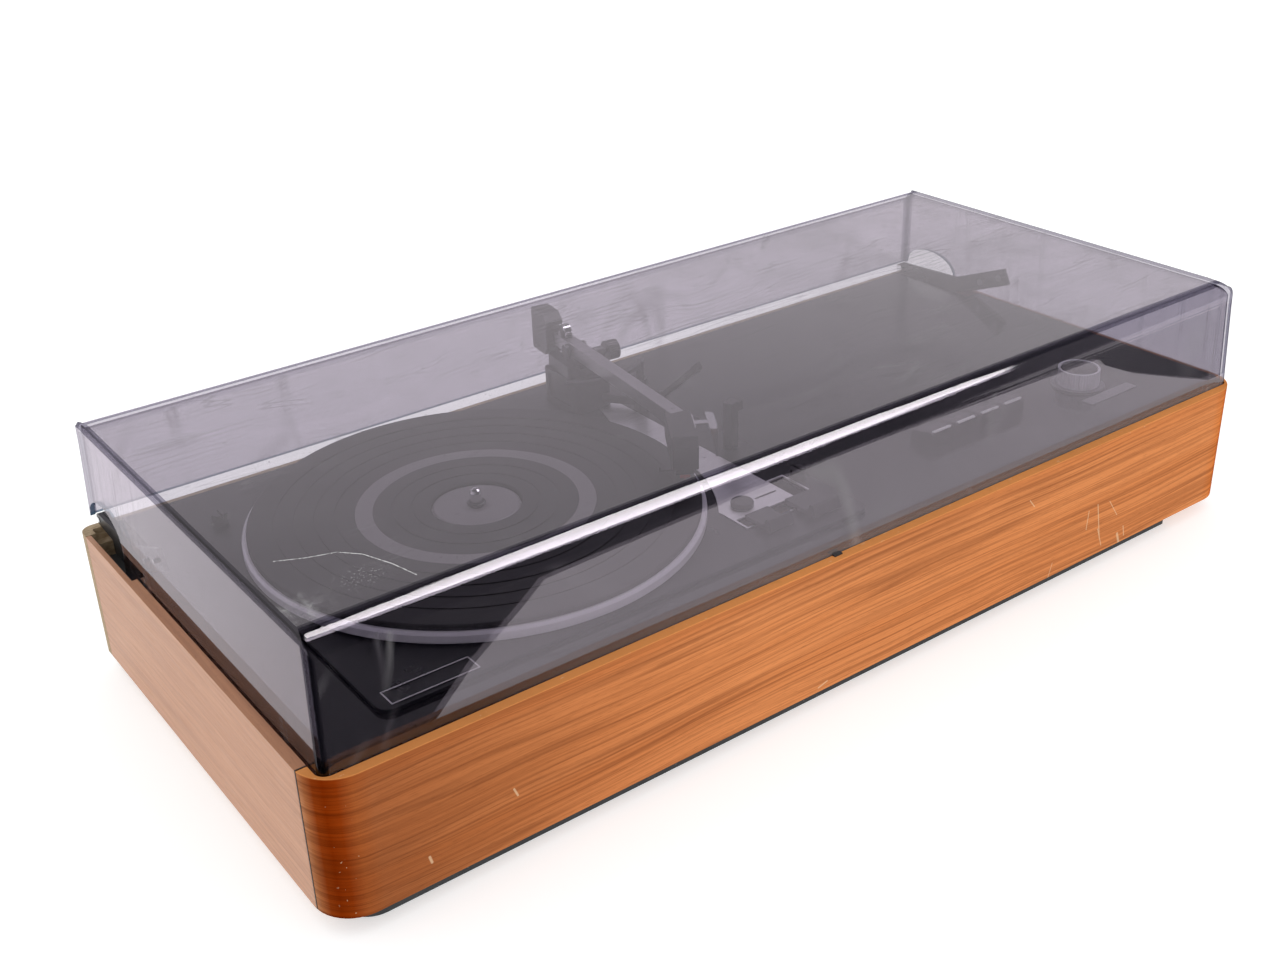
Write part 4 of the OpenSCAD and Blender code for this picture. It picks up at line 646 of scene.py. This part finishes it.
def cover_columns():
    """All columns round the cover, from its front left corner on."""
    columns = []
    corners = [(1, 1), (-1, 1), (-1, -1), (1, -1)]
    start_angles = [180, 270, 0, 90]
    for i in range(4):
        a, b = corners[i], corners[(i + 1) % 4]
        rear = a[1] < 0
        foot = COVER_SILL if rear else COVER_FOOT
        for step in range(ARC_STEPS + 1):
            angle = math.radians(start_angles[i] + 90 * step / ARC_STEPS)
            way = (math.cos(angle), math.sin(angle))
            columns.append(Column(a, a, 0.0, way, foot))
        if abs(way[0]) < 0.5:
            stops = [(share, foot) for share in (0.25, 0.5, 0.75)]
        else:
            stops = side_columns(rear)
        columns += [Column(a, b, share, way, low) for share, low in stops]
    return columns


def edge_round(wide_r, tall_r, skin, rise):
    """How far in and how high a rounded top edge is at an angle. skin is the depth inside the sheet."""
    wide = max(COVER_LEAST_R, wide_r - skin)
    tall = max(COVER_LEAST_R, tall_r - skin)
    bow = math.atan2(tall * math.sin(rise), wide * math.cos(rise))
    return skin + wide * (1 - math.cos(bow)), COVER_TOP - skin - tall * (1 - math.sin(bow))


def cover_point(column, skin, height, rise):
    """A point and normal of a skin: rise is the angle over the top edge, or None on the wall."""
    way_x, way_y = column.way
    on_wall = rise is None
    grow = (height - COVER_FOOT) / (COVER_ARC_Z - COVER_FOOT) if on_wall else 1.0
    # The sheet is bent wide at the front and rear, and its sides are glued on with a tight edge
    turn = 0.0 if on_wall else rise
    sink_x, top_x = edge_round(COVER_SIDE_R, COVER_SIDE_R, skin, turn)
    sink_y, top_y = edge_round(COVER_TOP_WIDE, COVER_TOP_R, skin, turn)
    inset_x = COVER_LEAN * grow + max(COVER_R, sink_x)
    inset_y = COVER_LEAN * grow + max(COVER_R, sink_y)
    reach_x = max(0.0, COVER_R - sink_x)
    reach_y = max(0.0, COVER_R - sink_y)
    spots = []
    for corner in (column.a, column.b):
        x = COVER_NEAR + inset_x if corner[0] > 0 else COVER_FAR_X - inset_x
        y = COVER_NEAR + inset_y if corner[1] > 0 else COVER_FAR_Y - inset_y
        spots.append((x, y))
    x = spots[0][0] + (spots[1][0] - spots[0][0]) * column.share + way_x * reach_x
    y = spots[0][1] + (spots[1][1] - spots[0][1]) * column.share + way_y * reach_y
    if on_wall:
        z = height
        angle = math.atan(COVER_LEAN * (abs(way_x) + abs(way_y)) / (COVER_ARC_Z - COVER_FOOT))
    else:
        z = top_x + (top_y - top_x) * way_y * way_y
        if column.share in (0.0, 1.0):
            # The glued side follows the bent sheet's profile at its ends
            sunk = max(COVER_R, sink_y) - abs(way_y) * reach_y - skin
            left = max(0.0, 1 - sunk / max(COVER_LEAST_R, COVER_TOP_WIDE - skin))
            z = min(z, COVER_TOP - skin - (COVER_TOP_R - skin) * (1 - math.sqrt(1 - left * left)))
        # The sheet leans in a little before its bend
        start = COVER_BEND * way_y * way_y
        angle = start + rise * (1 - start / QUARTER)
    normal = Vector((way_x * math.cos(angle), way_y * math.cos(angle), math.sin(angle)))
    return place(x, y, z), normal


def cover_row(row, column, skin):
    """The foot, the height where the bend starts, or a step of the rounded top edge."""
    if row < WALL_ROWS:
        return cover_point(column, skin, (column.foot, COVER_BEND_Z)[row], None)
    low = math.atan(COVER_LEAN / (COVER_ARC_Z - COVER_FOOT))
    rise = low + (QUARTER - low) * (row - WALL_ROWS) / ARC_STEPS
    return cover_point(column, skin, 0.0, rise)


def cover_slot(row, here, there):
    """Material of the face between two columns, above a row."""
    if row < WALL_ROWS:
        if here.way != there.way:
            return ON_LINE
        return ON_FRONT if here.way[1] < -0.5 else ON_WALL
    side = abs(here.way[0]) > 0.5 or abs(there.way[0]) > 0.5
    return ON_LINE if side or row >= TOP_ROW - LINE_ROWS else ON_ROUND


def cover_shell():
    """Outer and inner skin with rounded edges, and the strips that close them at the bottom."""
    bm = bmesh.new()
    columns = cover_columns()
    count = len(columns)
    normals = {}
    feet = []
    for skin, flip in ((0.0, 1), (COVER_WALL, -1)):
        rings = []
        for row in range(TOP_ROW + 1):
            ring = []
            for column in columns:
                spot, normal = cover_row(row, column, skin)
                vert = bm.verts.new(spot)
                normals[vert] = normal * flip
                ring.append(vert)
            rings.append(ring)
        feet.append(rings[0])
        for row in range(TOP_ROW):
            for i in range(count):
                j = (i + 1) % count
                corners = [rings[row][i], rings[row][j], rings[row + 1][j], rings[row + 1][i]]
                face = bm.faces.new(corners if flip > 0 else corners[::-1])
                face.material_index = cover_slot(row, columns[i], columns[j])
        bm.faces.new(rings[-1] if flip > 0 else rings[-1][::-1])
    for i in range(count):
        j = (i + 1) % count
        face = bm.faces.new([feet[0][j], feet[0][i], feet[1][i], feet[1][j]])
        face.material_index = ON_EDGE
    bm.normal_update()
    wanted = []
    for face in bm.faces:
        for vert in face.verts:
            wanted.append(face.normal.copy() if face.material_index == ON_EDGE else normals[vert])
    obj = from_bmesh("smoked_shell", bm, WALL, ROUND, EDGE, BEND_SHADE, FRONT)
    obj.data.normals_split_custom_set([tuple(n) for n in wanted])
    return obj


shell = cover_shell()
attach(shell, "lid")
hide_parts("dust_cover")


# Painted glint strips on the keys, a painted shadow ring round the spindle, and the knob's cap

PLATE_SOFTENING = 0.25
DISC_STEPS = 64


def plate(name, low, high, material):
    """Thin piece between two corners given in millimetres, with softened edges."""
    bm = bmesh.new()
    spots = []
    for z in (low[2], high[2]):
        for x, y in ((low[0], low[1]), (high[0], low[1]), (high[0], high[1]), (low[0], high[1])):
            spots.append(bm.verts.new(place(x, y, z)))
    for face in ((3, 2, 1, 0), (4, 5, 6, 7), (0, 1, 5, 4), (1, 2, 6, 5), (2, 3, 7, 6), (3, 0, 4, 7)):
        bm.faces.new([spots[i] for i in face])
    softening = PLATE_SOFTENING * MM
    bmesh.ops.bevel(bm, geom=list(bm.edges), offset=softening, segments=2, affect="EDGES", profile=0.5)
    return from_bmesh(name, bm, material, smooth=False)


def disc(name, centre_at, rings, material):
    """Turned piece from (radius, height) rings, in millimetres."""
    bm = bmesh.new()
    rows = []
    for radius, z in rings:
        row = []
        for i in range(DISC_STEPS if radius else 1):
            angle = 2 * math.pi * i / DISC_STEPS
            x = centre_at[0] + radius * math.cos(angle)
            y = centre_at[1] + radius * math.sin(angle)
            row.append(bm.verts.new(place(x, y, z)))
        rows.append(row)
    for a, b in zip(rows, rows[1:]):
        for i in range(DISC_STEPS):
            j = (i + 1) % DISC_STEPS
            loop = [a[i % len(a)], a[j % len(a)], b[j % len(b)], b[i % len(b)]]
            unique = list(dict.fromkeys(loop))
            bm.faces.new(unique)
    bmesh.ops.recalc_face_normals(bm, faces=list(bm.faces))
    return from_bmesh(name, bm, material)


KEY_COUNT = 4
KEY_X = 488.0
KEY_PITCH = 23.2
STRIP_HALF = 8.2
STRIP_Y = (62.9, 64.8)
STRIP_Z = (100.6, 101.9)
# Diffuse white strips on the keys' top front edges: painted highlight where these edges glint
GLINT_STRIP = moulded("key_glint_strip", (0.86, 0.86, 0.86), 0.35, 1500.0, 0.05, 0.03)
for i in range(KEY_COUNT):
    x = KEY_X + KEY_PITCH * i
    low = (x - STRIP_HALF, STRIP_Y[0], STRIP_Z[0])
    high = (x + STRIP_HALF, STRIP_Y[1], STRIP_Z[1])
    strip = plate("key_strip_%d" % (i + 1), low, high, GLINT_STRIP)
    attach(strip, "key_body_%d" % (i + 1))

SPINDLE_AT = (193.0, 168.0)
# Dark ring round the spindle's foot: painted shadow
SPINDLE_SHADOW_RINGS = [(3.2, 105.5), (3.3, 105.9), (5.6, 105.9), (5.8, 105.4)]
SPINDLE_SHADOW = moulded("spindle_shadow_ring", (0.010, 0.010, 0.011), 0.4)
spindle_shadow = disc("spindle_shadow_ring", SPINDLE_AT, SPINDLE_SHADOW_RINGS, SPINDLE_SHADOW)
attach(spindle_shadow, "turntable")

KNOB_AT = (631.5, 67.0)
CAP_RINGS = [(0, 104.2), (11.6, 104.2), (12.4, 104.0), (12.8, 103.5)]
KNOB_CAP = moulded("knob_cap", (0.022, 0.022, 0.025), 0.30, 1500.0, 0.05, 0.08)
cap = disc("knob_cap", KNOB_AT, CAP_RINGS, KNOB_CAP)
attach(cap, "volume")


# Stage, light and camera

def emit(s, colour, strength):
    made = s.node("ShaderNodeEmission")
    s.feed(made.inputs["Color"], colour)
    s.feed(made.inputs["Strength"], strength)
    return made.outputs[0]


def floor_material():
    """Pale ground that comes out white where nothing shades it."""
    s = Shader("floor_white")
    base = s.node("ShaderNodeBsdfDiffuse")
    s.feed(base.inputs["Color"], (0.70, 0.71, 0.715))
    both = s.node("ShaderNodeAddShader")
    s.feed(both.inputs[0], base.outputs[0])
    s.feed(both.inputs[1], emit(s, (1, 1, 1), 0.50))
    return s.surface(both.outputs[0])


def sheet_of(name, spots, material):
    """Flat stage piece through points of the row frame."""
    bm = bmesh.new()
    bm.faces.new([bm.verts.new(spot) for spot in spots])
    obj = from_bmesh(name, bm, material, smooth=False)
    return obj


FLOOR = 30
sheet_of("floor", [(-FLOOR, -FLOOR, 0), (FLOOR, -FLOOR, 0), (FLOOR, FLOOR, 0), (-FLOOR, FLOOR, 0)],
         floor_material())

card = Shader("dark_card")
card_black = card.node("ShaderNodeBsdfDiffuse")
card.feed(card_black.inputs["Color"], (0.006, 0.006, 0.010))
card.surface(card_black.outputs[0])
lit = Shader("lit_ground")
lit.surface(emit(lit, (1.0, 0.985, 1.0), 0.98))

# The room round the pale sheet that the object stands on. Only gloss sees it.
NEAR_LEFT = [
    (-4.0, 2.36), (-0.220, -0.310), (-0.171, -0.349), (-0.104, -0.393), (0.52, -0.832),
    (4.0, -1.1), (4.0, -5.0), (-4.0, -5.0),
]
NEAR_RIGHT = [
    (0.570, -0.80), (0.563, -0.427), (0.546, -0.402), (0.546, -0.371), (0.560, -0.340),
    (0.575, -0.313), (4.0, -0.313), (4.0, -0.80),
]
LIT_GROUND = [(-0.5, -0.17), (-0.5, -1.2), (4.0, -1.2), (4.0, -0.17)]
CARD_Z = 0.0006
LIT_Z = 0.0003
ROOM_TOP = 2.1
CARDS = [
    ("card_left", card, [(x, y, CARD_Z) for x, y in NEAR_LEFT]),
    ("card_right", card, [(x, y, CARD_Z) for x, y in NEAR_RIGHT]),
    ("card_above", card, [(-4, 2.0, ROOM_TOP), (-4, -5, ROOM_TOP), (5, -5, ROOM_TOP), (5, 2.0, ROOM_TOP)]),
    ("card_front", card, [(-4, -5, 0.0), (5, -5, 0.0), (5, -5, ROOM_TOP), (-4, -5, ROOM_TOP)]),
    ("ground_lit", lit, [(x, y, LIT_Z) for x, y in LIT_GROUND]),
]
for name, shader, outline in CARDS:
    flag = sheet_of(name, outline, shader.mat)
    flag.visible_camera = False
    flag.visible_diffuse = False
    flag.visible_transmission = False
    flag.visible_shadow = False

world = bpy.data.worlds.new("studio")
bpy.context.scene.world = world
world.use_nodes = True
background = world.node_tree.nodes["Background"]
background.inputs["Color"].default_value = (1, 1, 1, 1)
background.inputs["Strength"].default_value = 1.0

# Lamp above the right end that only gloss sees, for the pale band along the cover's front edge
LAMP_SPOT = (1.03, 0.22, 1.86)
lamp_data = bpy.data.lights.new("edge_lamp", "AREA")
lamp_data.shape = "ELLIPSE"
lamp_data.size = 1.75
lamp_data.size_y = 1.2
lamp_data.energy = 70.0
lamp = add("edge_lamp", lamp_data)
lamp.rotation_euler = Vector((0, 0, -1)).to_track_quat("-Z", "Y").to_euler()
lamp.location = LAMP_SPOT
lamp.visible_diffuse = False
lamp.visible_transmission = False

CAMERA_AZIMUTH = math.radians(-36.022)
CAMERA_ELEVATION = math.radians(27.340)
CAMERA_ROLL = math.radians(-1.835)
CAMERA_DISTANCE = 1.0404
CAMERA_TARGET = Vector((-0.0268, 0.0342, 0.0720))

camera_data = bpy.data.cameras.new("camera")
camera_data.lens = 42.74
camera_data.sensor_width = 36.0
camera = add("camera", camera_data)
back = Vector((
    math.sin(CAMERA_AZIMUTH) * math.cos(CAMERA_ELEVATION),
    -math.cos(CAMERA_AZIMUTH) * math.cos(CAMERA_ELEVATION),
    math.sin(CAMERA_ELEVATION)))
right = (-back).cross(Vector((0, 0, 1))).normalized()
up = right.cross(-back)
axis_x = right * math.cos(CAMERA_ROLL) + up * math.sin(CAMERA_ROLL)
axis_y = -right * math.sin(CAMERA_ROLL) + up * math.cos(CAMERA_ROLL)
pose = Matrix((axis_x, axis_y, back)).transposed().to_4x4()
pose.translation = CAMERA_TARGET + back * CAMERA_DISTANCE
camera.matrix_world = pose
bpy.context.scene.camera = camera
bpy.context.scene.view_settings.view_transform = "Standard"
